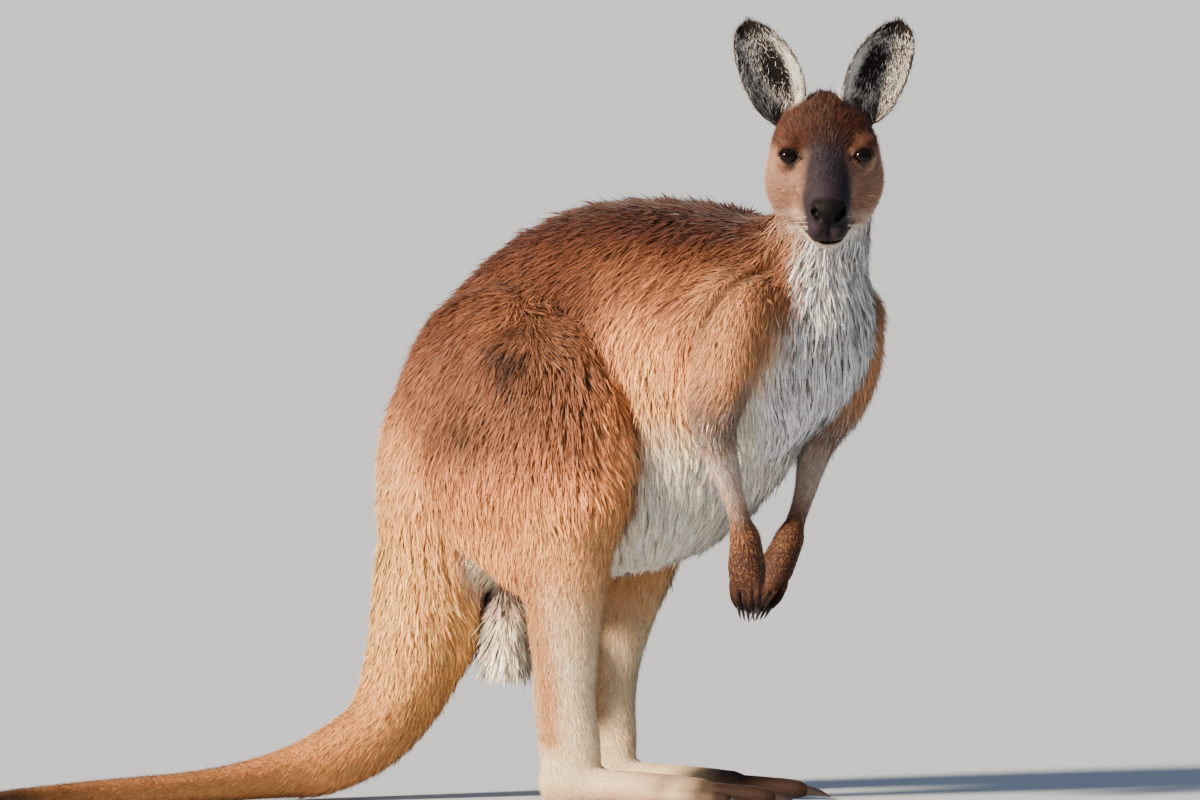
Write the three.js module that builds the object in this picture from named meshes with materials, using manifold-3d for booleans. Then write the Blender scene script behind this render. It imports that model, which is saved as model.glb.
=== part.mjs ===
// A western grey kangaroo (Macropus fuliginosus), adult male, standing on both hind feet with the chest
// turned to its right and the head turned further round, the tail laid on the floor. Life size.
//
// Millimetres. +X is the way the toes point, +Y the animal's left, +Z up; the floor is Z = 0.
// Every surface is the outline of the coat. The body is described as smooth masses, each a tube of
// elliptical section along a few stations or an ellipsoid. A node's surface is found by looking outward
// from a line through its middle, and neighbours are parted by thin cuts.

import * as THREE from "three";
import { mergeVertices } from "three/addons/utils/BufferGeometryUtils.js";
import Module from "manifold-3d";

const wasm = await Module();
wasm.setup();

// ---------------------------------------------------------------- driving dimensions
const CUT = 0.5; // width of the thin cuts that part the nodes
const STANCE = 73; // the middle of each hind foot from the midline
const KNEE_SPLAY = 126; // the middle of each knee from the midline
const KNEE_AHEAD = { left: 12, right: -5 }; // how far each knee is put forward of an even stance
const CHEST_TURN = -25; // degrees that the chest is turned, clockwise seen from above
const CHEST_AT = [228, -60, 0]; // the middle of the chest between the shoulders, on the plan
const HEAD_TURN = -74; // degrees that the head is turned
const HEAD_DIP = 18; // degrees that the muzzle points below level
const EYES_AT = [313, -162, 727]; // midway between the eyes
const EYE_RADIUS = 14;
const EAR_LENGTH = 112;
const EAR_HALF_WIDTH = 33;
const DEEPEST = 72; // how near the midline each thigh and arm reaches inside the trunk

// ---------------------------------------------------------------- smooth masses
const vec = (a) => new THREE.Vector3(...a);
const STEPS = 4; // straight lengths that stand for each span of a tube
const MEET = 0.25; // share of its blend that a smooth union adds where two masses are level

// How far p lies outside the ellipsoid of these half axes, along the line from its centre.
function outside(x, y, z, a, b, c) {
  const away = Math.hypot(x, y, z);
  const share = Math.hypot(x / a, y / b, z / c);
  return share < 1e-6 ? -Math.min(a, b, c) : away - away / share;
}

// An ellipsoid, turned about Z by `turn` and then tipped nose down by `dip`, in degrees.
function blob({ at, radii, turn = 0, dip = 0, blend = 20 }) {
  const inverse = placed(at, turn, dip).invert();
  const q = new THREE.Vector3();
  return {
    blend,
    distance(p) {
      q.copy(p).applyMatrix4(inverse);
      return outside(q.x, q.y, q.z, ...radii);
    },
  };
}

// A smooth curve through points.
const smooth = (points) => new THREE.CatmullRomCurve3(points.map(vec), false, "catmullrom", 0.5);

// A tube through stations [x, y, z, half width along `side`, half depth across it].
function tube({ stations, side = [0, 1, 0], blend = 20 }) {
  const count = (stations.length - 1) * STEPS;
  const middle = smooth(stations.map((s) => s.slice(0, 3)));
  const widths = smooth(stations.map((s) => [s[3], s[4], 0]));
  const knots = Array.from({ length: count + 1 }, (_, i) => ({
    at: middle.getPoint(i / count),
    size: widths.getPoint(i / count),
  }));
  const spans = knots.slice(1).map((to, i) => {
    const from = knots[i];
    const run = to.at.clone().sub(from.at);
    const axis = run.clone().normalize();
    const across = vec(side).addScaledVector(axis, -axis.dot(vec(side))).normalize();
    return { from, to, run, axis, across, deep: axis.clone().cross(across) };
  });
  const v = new THREE.Vector3();
  return {
    blend,
    knots,
    distance(p) {
      let least = Infinity;
      for (const s of spans) {
        v.copy(p).sub(s.from.at);
        const t = THREE.MathUtils.clamp(v.dot(s.run) / s.run.lengthSq(), 0, 1);
        v.addScaledVector(s.run, -t);
        const w = s.from.size.x + (s.to.size.x - s.from.size.x) * t;
        const d = s.from.size.y + (s.to.size.y - s.from.size.y) * t;
        least = Math.min(least, outside(v.dot(s.across), v.dot(s.deep), v.dot(s.axis), w, d, (w + d) / 2));
      }
      return least;
    },
  };
}

// A smooth union of masses. `frame` places it where its own coordinates aren't the row's.
function union(masses, frame = new THREE.Matrix4(), blend = 20) {
  const inverse = frame.clone().invert();
  return {
    blend,
    distance(p) {
      const q = p.clone().applyMatrix4(inverse);
      return masses.reduce((sum, mass) => {
        const d = mass.distance(q);
        const h = Math.max(mass.blend - Math.abs(sum - d), 0) / mass.blend;
        return Math.min(sum, d) - h * h * mass.blend * MEET;
      }, 1e6);
    },
  };
}

function placed(at, turn, dip = 0) {
  return new THREE.Matrix4()
    .makeTranslation(...at)
    .multiply(new THREE.Matrix4().makeRotationZ(THREE.MathUtils.degToRad(turn)))
    .multiply(new THREE.Matrix4().makeRotationY(THREE.MathUtils.degToRad(dip)));
}

const headFrame = placed(EYES_AT, HEAD_TURN, HEAD_DIP);
const chestFrame = placed(CHEST_AT, CHEST_TURN);

// ---------------------------------------------------------------- the body's masses
const trunkMass = tube({
  blend: 30,
  stations: [
    [-150, 0, 372, 98, 104], // rump
    [-122, 0, 397, 116, 138],
    [-48, 0, 440, 134, 188], // loin
    [43, -5, 480, 140, 212], // belly
    [135, -25, 522, 128, 171], // ribs
    [226, -59, 537, 108, 121], // chest
    [262, -77, 564, 78, 92],
  ],
});

const neckMass = tube({
  blend: 28,
  stations: [
    [250, -68, 578, 80, 82],
    [290, -87, 650, 58, 60],
    [297, -102, 706, 52, 54],
  ],
});

const headMass = union(
  [
    blob({ at: [-42, 0, 6], radii: [62, 57, 51] }), // brain case
    blob({ at: [-16, 0, 5], radii: [38, 59, 38] }), // brow
    blob({ at: [-16, 25, -32], radii: [48, 43, 44] }), // cheeks
    blob({ at: [-16, -25, -32], radii: [48, 43, 44] }),
    tube({
      blend: 20,
      stations: [
        [0, 0, -14, 38, 35],
        [38, 0, -24, 32, 33], // bridge of the nose
        [74, 0, -34, 28, 29],
        [94, 0, -40, 24, 25], // lips
      ],
    }),
    blob({ at: [103, 0, -36], radii: [11, 19, 16], blend: 8 }), // nose
    tube({
      blend: 22,
      stations: [
        [-10, 0, -58, 44, 28], // angle of the jaw
        [36, 0, -66, 33, 22],
        [76, 0, -71, 20, 15], // chin
      ],
    }),
  ],
  headFrame,
  32,
);

const tailMass = tube({
  blend: 45,
  side: [0.3, 0.95, 0],
  stations: [
    [-160, 0, 350, 78, 82],
    [-188, -2, 280, 68, 74], // root
    [-203, -8, 195, 60, 66],
    [-220, -22, 130, 50, 55],
    [-248, -48, 77, 40, 46],
    [-296, -88, 43, 34, 39], // where it lies down
    [-344, -132, 29, 28, 28.5],
    [-404, -207, 20.5, 21, 21],
    [-488, -312, 17, 17.5, 18],
    [-559, -425, 13.5, 13.5, 14.5],
    [-598, -525, 8.5, 8.5, 9.5], // tip
  ],
});

const core = union([trunkMass, neckMass, headMass, tailMass]);

const scrotumMass = tube({
  stations: [
    [-108, -2, 290, 13, 13],
    [-103, -4, 245, 15, 15],
    [-98, -6, 205, 27, 24],
    [-97, -7, 168, 29, 26],
  ],
});

// A leg, its knee put `ahead` of the even stance; side is 1 for the left and -1 for the right.
function legMasses(side, ahead) {
  const thigh = union([
    tube({
      stations: [
        [-118, side * 70, 452, 66, 132], // hip
        [-64 + ahead * 0.4, side * 92, 448, 76, 150],
        [-20 + ahead * 0.8, side * 110, 414, 71, 130], // thigh
        [16 + ahead, side * 122, 358, 55, 78],
      ],
    }),
    tube({
      blend: 30,
      stations: [
        [-108, side * 92, 330, 36, 46], // hamstring
        [-52, side * 108, 284, 36, 42],
      ],
    }),
  ]);
  const whole = union([
    thigh,
    tube({
      blend: 30,
      stations: [
        [26 + ahead, side * KNEE_SPLAY, 345, 43, 50], // knee
        [8 + ahead, side * 117, 285, 41, 56], // calf
        [-1 + ahead * 0.5, side * 106, 225, 33, 47],
        [-6, side * 95, 165, 27, 40], // shin
        [-9, side * 85, 115, 24, 38],
        [-6, side * 77, 70, 23, 38], // hock
        [-4, side * STANCE, 36, 22, 36],
      ],
    }),
    tube({
      blend: 12,
      stations: [
        [-22, side * STANCE, 23, 19, 25], // heel
        [30, side * STANCE, 21, 21, 21],
        [100, side * (STANCE + 1), 18.5, 22, 19], // sole bones
        [145, side * (STANCE + 2), 16.5, 19, 16.5],
      ],
    }),
  ]);
  return { thigh, whole };
}

// Each arm's stations in the chest's frame, with X forward and Y out from the midline.
const ARMS = {
  left: [
    [26, 96, 552, 52, 46], // shoulder
    [22, 112, 505, 42, 36],
    [6, 114, 458, 35, 31],
    [-10, 112, 430, 27, 26], // elbow
    [-17, 99, 398, 20, 19],
    [-14, 70, 343, 13, 12.5], // forearm
    [-12, 43, 299, 14, 12.5], // wrist
    [-16, 27, 270, 20, 14],
    [-18, 16, 247, 22, 14], // palm
  ],
  right: [
    [30, 96, 552, 52, 46],
    [28, 114, 505, 43, 36],
    [17, 119, 458, 37, 31],
    [12, 117, 430, 29, 27],
    [9, 101, 393, 21, 20],
    [7, 76, 345, 13.5, 13],
    [4, 54, 301, 14.5, 13],
    [-1, 45, 272, 22, 15],
    [-5, 40, 249, 25, 15],
  ],
};
const onSide = (side, [x, y, ...rest]) => [x, side * y, ...rest];
const armMass = (side, stations) =>
  union([tube({ side: [1, 0, 0], stations: stations.map((s) => onSide(side, s)) })], chestFrame);

// ---------------------------------------------------------------- from masses to closed meshes
const TILTS = [60, 30]; // degrees: the rings that round off each end of a wrapped surface
const NEAR = 0.02; // how closely a point is set on the surface
const FILLET = 2; // how far the piece that fills the bend between two wraps lies under them

// The first point outward from `from` where the mass is `grow` away, or the one at `reach`.
function surfacePoint(mass, from, way, grow, reach) {
  const at = (d) => from.clone().addScaledVector(way, d);
  let inner = 0;
  let outer = 1;
  let value = mass.distance(at(outer)) - grow;
  while (value < 0) {
    if (outer >= reach) return at(reach);
    inner = outer;
    outer += Math.max(-value * 0.7, 1);
    value = mass.distance(at(outer)) - grow;
  }
  while (outer - inner > NEAR) {
    const half = (inner + outer) / 2;
    if (mass.distance(at(half)) < grow) inner = half;
    else outer = half;
  }
  return at(outer);
}

// The mass's surface seen from a line of points through it, as a closed solid of rings and two poles.
function wrap(mass, line, { rings, sides, up = [0, 0, 1], grow = 0, reach = 1e4 }) {
  const curve = smooth(line);
  const look = ([t, tilt], turn) => {
    const axis = curve.getTangentAt(t);
    const top = vec(up).addScaledVector(axis, -axis.dot(vec(up))).normalize();
    const left = top.clone().cross(axis);
    const lean = THREE.MathUtils.degToRad(tilt);
    const out = top.multiplyScalar(Math.cos(turn)).addScaledVector(left, Math.sin(turn));
    const way = out.multiplyScalar(Math.cos(lean)).addScaledVector(axis, Math.sin(lean));
    return surfacePoint(mass, curve.getPointAt(t), way, grow, reach);
  };
  const stops = [
    ...TILTS.map((tilt) => [0, -tilt]),
    ...Array.from({ length: rings + 1 }, (_, i) => [i / rings, 0]),
    ...[...TILTS].reverse().map((tilt) => [1, tilt]),
  ];
  const turns = Array.from({ length: sides }, (_, i) => (i / sides) * 2 * Math.PI);
  const around = stops.map((stop) => turns.map((turn) => look(stop, turn)));
  return closedTube(around, look([0, -90], 0), look([1, 90], 0));
}

// A closed solid from rings of points, each end drawn in to one point.
function closedTube(around, start, end) {
  const sides = around[0].length;
  const points = [start, ...around.flat(), end];
  const last = around.length - 1;
  const at = (ring, i) => 1 + ring * sides + (i % sides);
  const faces = [];
  for (let i = 0; i < sides; i++) {
    faces.push(0, at(0, i), at(0, i + 1), points.length - 1, at(last, i + 1), at(last, i));
    for (let ring = 0; ring < last; ring++) {
      faces.push(at(ring, i), at(ring + 1, i), at(ring + 1, i + 1));
      faces.push(at(ring, i), at(ring + 1, i + 1), at(ring, i + 1));
    }
  }
  const made = solid(points, faces);
  return made.volume() > 0 ? made : solid(points, faces.reverse());
}

function solid(points, faces) {
  const vertProperties = new Float32Array(points.flatMap((p) => p.toArray()));
  return new wasm.Manifold(new wasm.Mesh({ numProp: 3, vertProperties, triVerts: new Uint32Array(faces) }));
}

// The part of a solid on the far side of a cut, which is a point and the way across.
const beyond = (made, cut) => made.trimByPlane(...pastPlane(cut, CUT / 2));
const turned = ([at, way]) => [at, way.map((c) => -c)];
const before = (made, cut) => beyond(made, turned(cut));
const aboveFloor = (made) => made.trimByPlane([0, 0, 1], 0);

// The slice of a solid that lies within `depth` past a cut.
const slice = (made, cut, depth) =>
  made.trimByPlane(...pastPlane(cut, 0)).trimByPlane(...pastPlane(cut, depth, -1));
function pastPlane([at, way], depth, sign = 1) {
  const normal = vec(way).normalize();
  return [normal.clone().multiplyScalar(sign).toArray(), sign * (normal.dot(vec(at)) + depth)];
}

// A limb with nothing nearer the midline than `DEEPEST`, in the plane whose normal is `out`.
const outer = (made, at, out, slack = 0) =>
  beyond(made, [vec(at).addScaledVector(vec(out), DEEPEST - slack).toArray(), out]);

// ---------------------------------------------------------------- smaller pieces
// A round tapered piece through stations [x, y, z, radius], its ends flat.
function taper(stations, frame = new THREE.Matrix4(), sides = 6) {
  const centres = stations.map(([x, y, z]) => new THREE.Vector3(x, y, z));
  const axis = centres.at(-1).clone().sub(centres[0]).normalize();
  const across = new THREE.Vector3(0.3, 1, 0.2).cross(axis).normalize();
  const other = axis.clone().cross(across);
  const ring = (centre, radius) =>
    Array.from({ length: sides }, (_, i) => {
      const turn = (i / sides) * 2 * Math.PI;
      const p = centre.clone().addScaledVector(across, radius * Math.cos(turn));
      return p.addScaledVector(other, radius * Math.sin(turn)).applyMatrix4(frame);
    });
  const around = centres.map((centre, i) => ring(centre, stations[i][3]));
  return closedTube(around, centres[0].applyMatrix4(frame), centres.at(-1).applyMatrix4(frame));
}

// A claw from `root` to `tip`, arched by `rise`.
function claw(root, tip, radius, rise, frame) {
  const middle = vec(root).lerp(vec(tip), 0.55).add(new THREE.Vector3(0, 0, rise)).toArray();
  return taper([[...root, radius], [...middle, radius * 0.72], [...tip, 0.5]], frame, 5);
}

// A cupped leaf that leans out toward its tip, its hollow facing forward.
function ear(side) {
  const along = new THREE.Vector3(-0.14, side * 0.2, 0.97).normalize();
  const facing = new THREE.Vector3(1, side * 0.05, 0);
  const front = facing.addScaledVector(along, -facing.dot(along)).normalize();
  const across = front.clone().cross(along);
  const [lengthwise, crosswise, widest] = [8, 6, 0.5];
  const thick = 7;
  const point = (s, t, face) => {
    const past = (s - widest) / (s < widest ? 0.6 : 0.503);
    const half = EAR_HALF_WIDTH * Math.sqrt(1 - past * past);
    const curl = THREE.MathUtils.degToRad(88 - 50 * s);
    const bend = half / Math.sin(curl);
    const wall = (face * thick * Math.sqrt(1 - t * t * 0.97)) / 2;
    const p = new THREE.Vector3(-58, side * (42 + 20 * s * s), 24);
    p.addScaledVector(along, s * EAR_LENGTH).addScaledVector(across, (bend - wall) * Math.sin(t * curl));
    return p.addScaledVector(front, bend - (bend - wall) * Math.cos(t * curl)).applyMatrix4(headFrame);
  };
  const around = Array.from({ length: lengthwise + 1 }, (_, i) => [
    ...Array.from({ length: crosswise }, (_, j) => point(i / lengthwise, (2 * j) / crosswise - 1, 1)),
    ...Array.from({ length: crosswise }, (_, j) => point(i / lengthwise, 1 - (2 * j) / crosswise, -1)),
  ]);
  return closedTube(around, point(0, 0, 0), point(1, 0, 0));
}

// ---------------------------------------------------------------- legs and feet
const KNEE_CUT = [[10, 0, 310], [0.42, 0, -1]]; // a point on the cut, and the way down the leg
const ANKLE_CUT = [[-5, 0, 60], [0.25, 0, -1]];
// The fourth toe, the fifth and the joined second and third: stations [forward, out from the foot's
// middle, up, radius].
const TOES = [
  [[125, 2, 15, 15], [180, 2, 13.5, 13.5], [218, 2, 12, 12], [231, 2, 10.5, 8]],
  [[100, 15, 12, 10.5], [150, 21, 10, 10.5], [178, 23, 9.5, 9.5], [187, 23, 8.5, 6.5]],
  [[80, -14, 12, 9], [120, -19, 9.5, 9.5], [146, -20.5, 8.5, 8.5], [153, -20.5, 8, 6.5]],
];
// Name, root and tip as [forward, out from the foot's middle, up], radius and rise.
const FOOT_CLAWS = [
  ["fourth", [233, 2, 10], [263, 2, 3], 6.2, 3],
  ["fifth", [189, 23, 8.5], [209, 24, 3], 4.8, 2],
  ["grooming_outer", [154.5, -17.2, 8], [169, -17, 3.5], 2.6, 1],
  ["grooming_inner", [154.5, -23.8, 8], [167, -24.5, 3.5], 2.6, 1],
];

function leg(side, ahead) {
  const masses = legMasses(side, ahead);
  const up = [0, side, 0];
  const mirror = (s) => onSide(side, s);
  const onFoot = ([x, out, ...rest]) => [x, side * (STANCE + out), ...rest];
  const thighLine = [[-48, 64, 425], [-42, 96, 420], [-36, 128, 415]].map(mirror);
  const shinLine = [[16 + ahead, 122, 335], [2 + ahead, 112, 250], [-8, 88, 130], [-6, 77, 60]].map(mirror);
  const footLine = [[-22, 0, 30], [60, 0, 20], [138, 2, 16]].map(onFoot);
  const thighSize = { rings: 3, sides: 22 };
  const shinSize = { rings: 8, sides: 12, up, reach: 110 };
  const wholeShin = wrap(masses.whole, shinLine, shinSize);
  const knee = slice(wrap(masses.whole, shinLine, { ...shinSize, grow: -FILLET }), turned(KNEE_CUT), 30);
  const thigh = outer(before(wrap(masses.thigh, thighLine, thighSize).add(knee), KNEE_CUT), [0, 0, 0], up);
  const shin = before(beyond(wholeShin, KNEE_CUT), ANKLE_CUT);
  let foot = beyond(wrap(masses.whole, footLine, { rings: 6, sides: 10, reach: 60 }), ANKLE_CUT);
  for (const toe of TOES) foot = foot.add(taper(toe.map(onFoot)));
  foot = aboveFloor(foot);
  const claws = FOOT_CLAWS.map(([name, root, tip, ...rest]) => [name, claw(onFoot(root), onFoot(tip), ...rest)]);
  const thighRoom = outer(wrap(masses.thigh, thighLine, { ...thighSize, grow: CUT }), [0, 0, 0], up, CUT);
  const hollow = thighRoom.add(wrap(masses.whole, shinLine, { ...shinSize, grow: CUT }));
  return { thigh, shin, foot, claws, hollow };
}

// ---------------------------------------------------------------- arms and hands
const ELBOW_CUT = [[0, 0, 416], [0, 0, -1]]; // in the chest's frame
const WRIST_CUT = [[0, 0, 288], [0, 0, -1]];
const FINGERS = [-17, -9, 0, 9, 17]; // each knuckle forward of the palm's middle
const FINGER_LENGTH = 27;
const FINGER_RADIUS = 6;

function arm(side, stations) {
  const mass = armMass(side, stations);
  const inChest = (p) => vec(p).applyMatrix4(chestFrame).toArray();
  const toward = (way) => vec(way).transformDirection(chestFrame).toArray();
  const line = (from, to) => stations.slice(from, to + 1).map(([x, y, z]) => inChest([x, side * y, z]));
  const plane = ([at, way]) => [inChest(at), toward(way)];
  const size = { rings: 5, sides: 10, up: toward([1, 0, 0]) };
  const upper = before(wrap(mass, line(0, 4), size), plane(ELBOW_CUT));
  const lower = before(beyond(wrap(mass, line(3, 7), size), plane(ELBOW_CUT)), plane(WRIST_CUT));
  let hand = beyond(wrap(mass, line(6, 8), { ...size, rings: 2 }), plane(WRIST_CUT));

  const [back, palm] = stations.slice(-2).map(([x, y, z]) => new THREE.Vector3(x, side * y, z));
  const down = palm.clone().sub(back).normalize();
  const claws = FINGERS.map((ahead, i) => {
    const long = FINGER_LENGTH - Math.abs(ahead) * 0.25;
    const spot = (spread, along, out) =>
      vec([ahead * spread, side * out, 0]).add(palm).addScaledVector(down, along).toArray();
    const knuckle = [...spot(1, 2, 1), FINGER_RADIUS];
    const joint = [...spot(0.92, 2 + long * 0.6, 2), FINGER_RADIUS];
    const tip = [...spot(0.75, 2 + long, -1), FINGER_RADIUS * 0.7];
    hand = hand.add(taper([knuckle, joint, tip], chestFrame));
    return [`${i + 1}`, claw(spot(0.74, long + 5.5, -1.6), spot(0.7, long + 17, -4), 2.8, 0, chestFrame)];
  });
  const hollow = wrap(mass, line(0, 4), { ...size, grow: CUT });
  const trimmed = (made, slack) => outer(made, CHEST_AT, toward([0, side, 0]), slack);
  return { upper: trimmed(upper, 0), lower, hand, claws, hollow: trimmed(hollow, CUT) };
}

// ---------------------------------------------------------------- head, neck, trunk and tail
const HEAD_CUT = [[296, -106, 690], [0.2, -0.69, 0.69]]; // a point on the cut, and the way toward the head
const NECK_CUT = [[264, -76, 612], [0.5, -0.24, 0.83]];
const TAIL_CUT = [[-190, -2, 262], [-0.12, 0, -1]]; // and the way toward the tail's tip
const TAIL_MIDDLE_CUT = [[-320, -110, 36], [-0.72, -0.66, -0.2]];
const TAIL_TIP_CUT = [[-470, -290, 17], [-0.63, -0.78, 0]];

const headPoint = (x, y, z) => new THREE.Vector3(x, y, z).applyMatrix4(headFrame).toArray();
const lines = {
  head: [headPoint(-58, 0, 0), headPoint(-10, 0, -14), headPoint(50, 0, -38), headPoint(88, 0, -46)],
  neck: [[252, -70, 588], [281, -88, 655], [298, -110, 712]],
  trunk: [[-172, 0, 345], [-120, 0, 385], [-30, 0, 440], [60, -8, 478], [150, -32, 515], [236, -63, 556]],
  tailBase: [
    ...[[-150, 0, 370], [-188, -2, 270], [-205, -10, 190], [-224, -26, 120]],
    ...[[-255, -54, 68], [-308, -98, 40], [-350, -137, 28]],
  ],
  tailMiddle: [[-292, -84, 44], [-344, -132, 28], [-404, -207, 20], [-480, -302, 17]],
  tailTip: [[-430, -240, 19], [-488, -312, 17], [-559, -425, 13.5], [-594, -516, 9]],
};

const EYE_SPOT = (side) => [13, side * 40, 1]; // in the head's frame
function eyeball(side, grow = 0) {
  const ball = new THREE.SphereGeometry(EYE_RADIUS + grow, 10, 7).translate(...headPoint(...EYE_SPOT(side)));
  ball.deleteAttribute("normal").deleteAttribute("uv");
  const { index, attributes } = mergeVertices(ball, 1e-3);
  const points = Array.from({ length: attributes.position.count }, (_, i) =>
    new THREE.Vector3().fromBufferAttribute(attributes.position, i),
  );
  return solid(points, index.array);
}

const less = (made, ...holes) => holes.reduce((rest, hole) => rest.subtract(hole), made);
const SIDES = [["left", 1], ["right", -1]];
const legs = SIDES.map(([name, side]) => leg(side, KNEE_AHEAD[name]));
const arms = SIDES.map(([name, side]) => arm(side, ARMS[name]));
const hollows = [...legs, ...arms].map((limb) => limb.hollow);
const scrotumLine = [[-104, -4, 268], [-98, -6, 205], [-97, -7, 168]];
const scrotumSize = { rings: 4, sides: 8, up: [0, 1, 0] };
const pouch = less(wrap(scrotumMass, scrotumLine, scrotumSize), ...hollows);
const pouchHollow = wrap(scrotumMass, scrotumLine, { ...scrotumSize, grow: CUT });

const neckSize = { rings: 5, sides: 16, up: [0, -1, 0], reach: 150 };
const wholeNeck = wrap(core, lines.neck, neckSize);
const nape = slice(wrap(core, lines.neck, { ...neckSize, grow: -FILLET }), HEAD_CUT, 34);
const headSize = { rings: 13, sides: 20 };
const wholeHead = wrap(headMass, lines.head, headSize).add(nape);
const headRoom = wrap(headMass, lines.head, { ...headSize, grow: CUT });
const tailBaseSize = { rings: 10, sides: 13, up: [0, 1, 0], reach: 150 };
const wholeTailBase = wrap(core, lines.tailBase, tailBaseSize);
const rump = slice(wrap(core, lines.tailBase, { ...tailBaseSize, grow: -FILLET }), turned(TAIL_CUT), 125);
const body = union([trunkMass, neckMass, headMass]);
const wholeTrunk = wrap(body, lines.trunk, { rings: 11, sides: 18, reach: 260 }).add(rump);
const eyeHollows = SIDES.map(([, side]) => eyeball(side, CUT));

// ---------------------------------------------------------------- the nodes
const material = (color, roughness) => new THREE.MeshStandardMaterial({ color, roughness });
const coats = {
  tawny: material(0xa9714a, 0.9),
  face: material(0x6e4636, 0.9),
  pale: material(0xc9a688, 0.9),
  grey: material(0x9a8c82, 0.9),
  dark: material(0x3b271f, 0.85),
  cream: material(0xd8c3ac, 0.9),
};
const glossy = material(0x160e0a, 0.1);
const horn = material(0x1d1613, 0.4);

const kangaroo = new THREE.Group();

// Adds the largest body of a solid as a named node.
function add(name, made, surface) {
  const bodies = made.decompose().sort((a, b) => b.volume() - a.volume());
  const { vertProperties, numProp, triVerts } = bodies[0].getMesh();
  const geometry = new THREE.BufferGeometry();
  geometry.setAttribute("position", new THREE.BufferAttribute(vertProperties, numProp));
  geometry.setIndex(new THREE.BufferAttribute(triVerts, 1));
  geometry.computeVertexNormals();
  const piece = new THREE.Mesh(geometry, surface);
  piece.name = name;
  kangaroo.add(piece);
}

add("head", less(beyond(wholeHead, HEAD_CUT), ...eyeHollows), coats.face);
add("neck", less(beyond(before(wholeNeck, HEAD_CUT), NECK_CUT), ...hollows), coats.grey);
add("trunk", less(before(before(wholeTrunk, NECK_CUT), TAIL_CUT), ...hollows, pouchHollow), coats.tawny);
const tailBase = before(beyond(wholeTailBase, TAIL_CUT), TAIL_MIDDLE_CUT);
add("tail_base", aboveFloor(less(tailBase, ...hollows, pouchHollow)), coats.tawny);
const tailSize = { rings: 6, sides: 9 };
const wholeMiddle = wrap(tailMass, lines.tailMiddle, tailSize);
add("tail_middle", aboveFloor(before(beyond(wholeMiddle, TAIL_MIDDLE_CUT), TAIL_TIP_CUT)), coats.tawny);
add("tail_tip", aboveFloor(beyond(wrap(tailMass, lines.tailTip, tailSize), TAIL_TIP_CUT)), coats.dark);
add("scrotum", pouch, coats.cream);
SIDES.forEach(([name, side], i) => {
  add(`ear_${name}`, ear(side).subtract(headRoom), coats.grey);
  add(`eye_${name}`, eyeball(side), glossy);
  add(`thigh_${name}`, legs[i].thigh, coats.tawny);
  add(`shin_${name}`, legs[i].shin, coats.pale);
  add(`foot_${name}`, legs[i].foot, coats.pale);
  add(`upper_arm_${name}`, arms[i].upper, coats.tawny);
  add(`forearm_${name}`, arms[i].lower, coats.pale);
  add(`hand_${name}`, arms[i].hand, coats.dark);
  for (const [clawName, made] of legs[i].claws) add(`foot_${name}_claw_${clawName}`, made, horn);
  for (const [clawName, made] of arms[i].claws) add(`hand_${name}_claw_${clawName}`, made, horn);
});

// The origin is on the floor under the middle of the model's box.
const box = new THREE.Box3().setFromObject(kangaroo);
kangaroo.position.set(-(box.min.x + box.max.x) / 2, -(box.min.y + box.max.y) / 2, -box.min.z);

export default kangaroo;
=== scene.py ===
"""The looks of a life-size western grey kangaroo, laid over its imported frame.

One skin is drawn round the body's masses. A coat of solid tufts grows on it, painted by the same rules, and
eyes, claws and whiskers are set into it.

Lengths are in millimetres in the animal's own frame (X the way the toes point, Y its left, Z up, the
floor at zero, the origin between the ankles) until a mesh is made, which is in metres in the part's frame.
"""

import logging
import math
from dataclasses import dataclass, field
from enum import Enum
from typing import Callable, Iterable, Sequence

import bmesh
import bpy
import numpy as np
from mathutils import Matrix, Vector


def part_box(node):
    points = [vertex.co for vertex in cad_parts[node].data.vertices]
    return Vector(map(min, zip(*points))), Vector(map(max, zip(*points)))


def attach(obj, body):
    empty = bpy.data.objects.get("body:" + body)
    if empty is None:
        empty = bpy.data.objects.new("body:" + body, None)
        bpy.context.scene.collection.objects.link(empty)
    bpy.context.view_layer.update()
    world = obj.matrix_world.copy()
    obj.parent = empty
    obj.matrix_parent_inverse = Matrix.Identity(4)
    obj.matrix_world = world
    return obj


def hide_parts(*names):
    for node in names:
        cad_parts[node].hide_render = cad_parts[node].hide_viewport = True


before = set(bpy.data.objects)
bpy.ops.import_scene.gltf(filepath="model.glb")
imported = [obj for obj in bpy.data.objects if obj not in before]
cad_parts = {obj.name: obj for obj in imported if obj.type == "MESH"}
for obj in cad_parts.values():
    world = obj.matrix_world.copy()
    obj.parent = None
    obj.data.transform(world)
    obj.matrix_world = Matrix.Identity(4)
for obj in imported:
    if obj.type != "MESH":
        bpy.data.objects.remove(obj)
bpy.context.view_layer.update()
log = logging.getLogger("kangaroo")

Array = np.ndarray
Tufts = dict[str, Array]  # what is known of each tuft, by name
SEED = 20  # of every random draw
HASH = (73856093, 19349663, 83492791)  # primes that scatter the cells of a grid
FAR = 1.0e4  # a distance that stands for out of reach
STEPS = 4  # straight lengths that stand for each span of a tube
MEET = 0.25  # share of its blend that a smooth union adds where two masses are level
REACH = 48.0  # how far round a mass its distance is worked out
PATCH = 0.003  # the side of a tuft's patch on the baking map
SEAM = 0.04  # a triangle whose corners lie further apart on that map crosses a seam
GROUND = 0.4  # the least height of a tuft's points over the floor
MAP = "OFBake"


# ---- small maths
def unit(v: Array) -> Array:
    """Returns vectors of length one, along the last axis."""
    v = np.asarray(v, float)
    return v / np.maximum(np.linalg.norm(v, axis=-1, keepdims=True), 1e-9)


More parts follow.
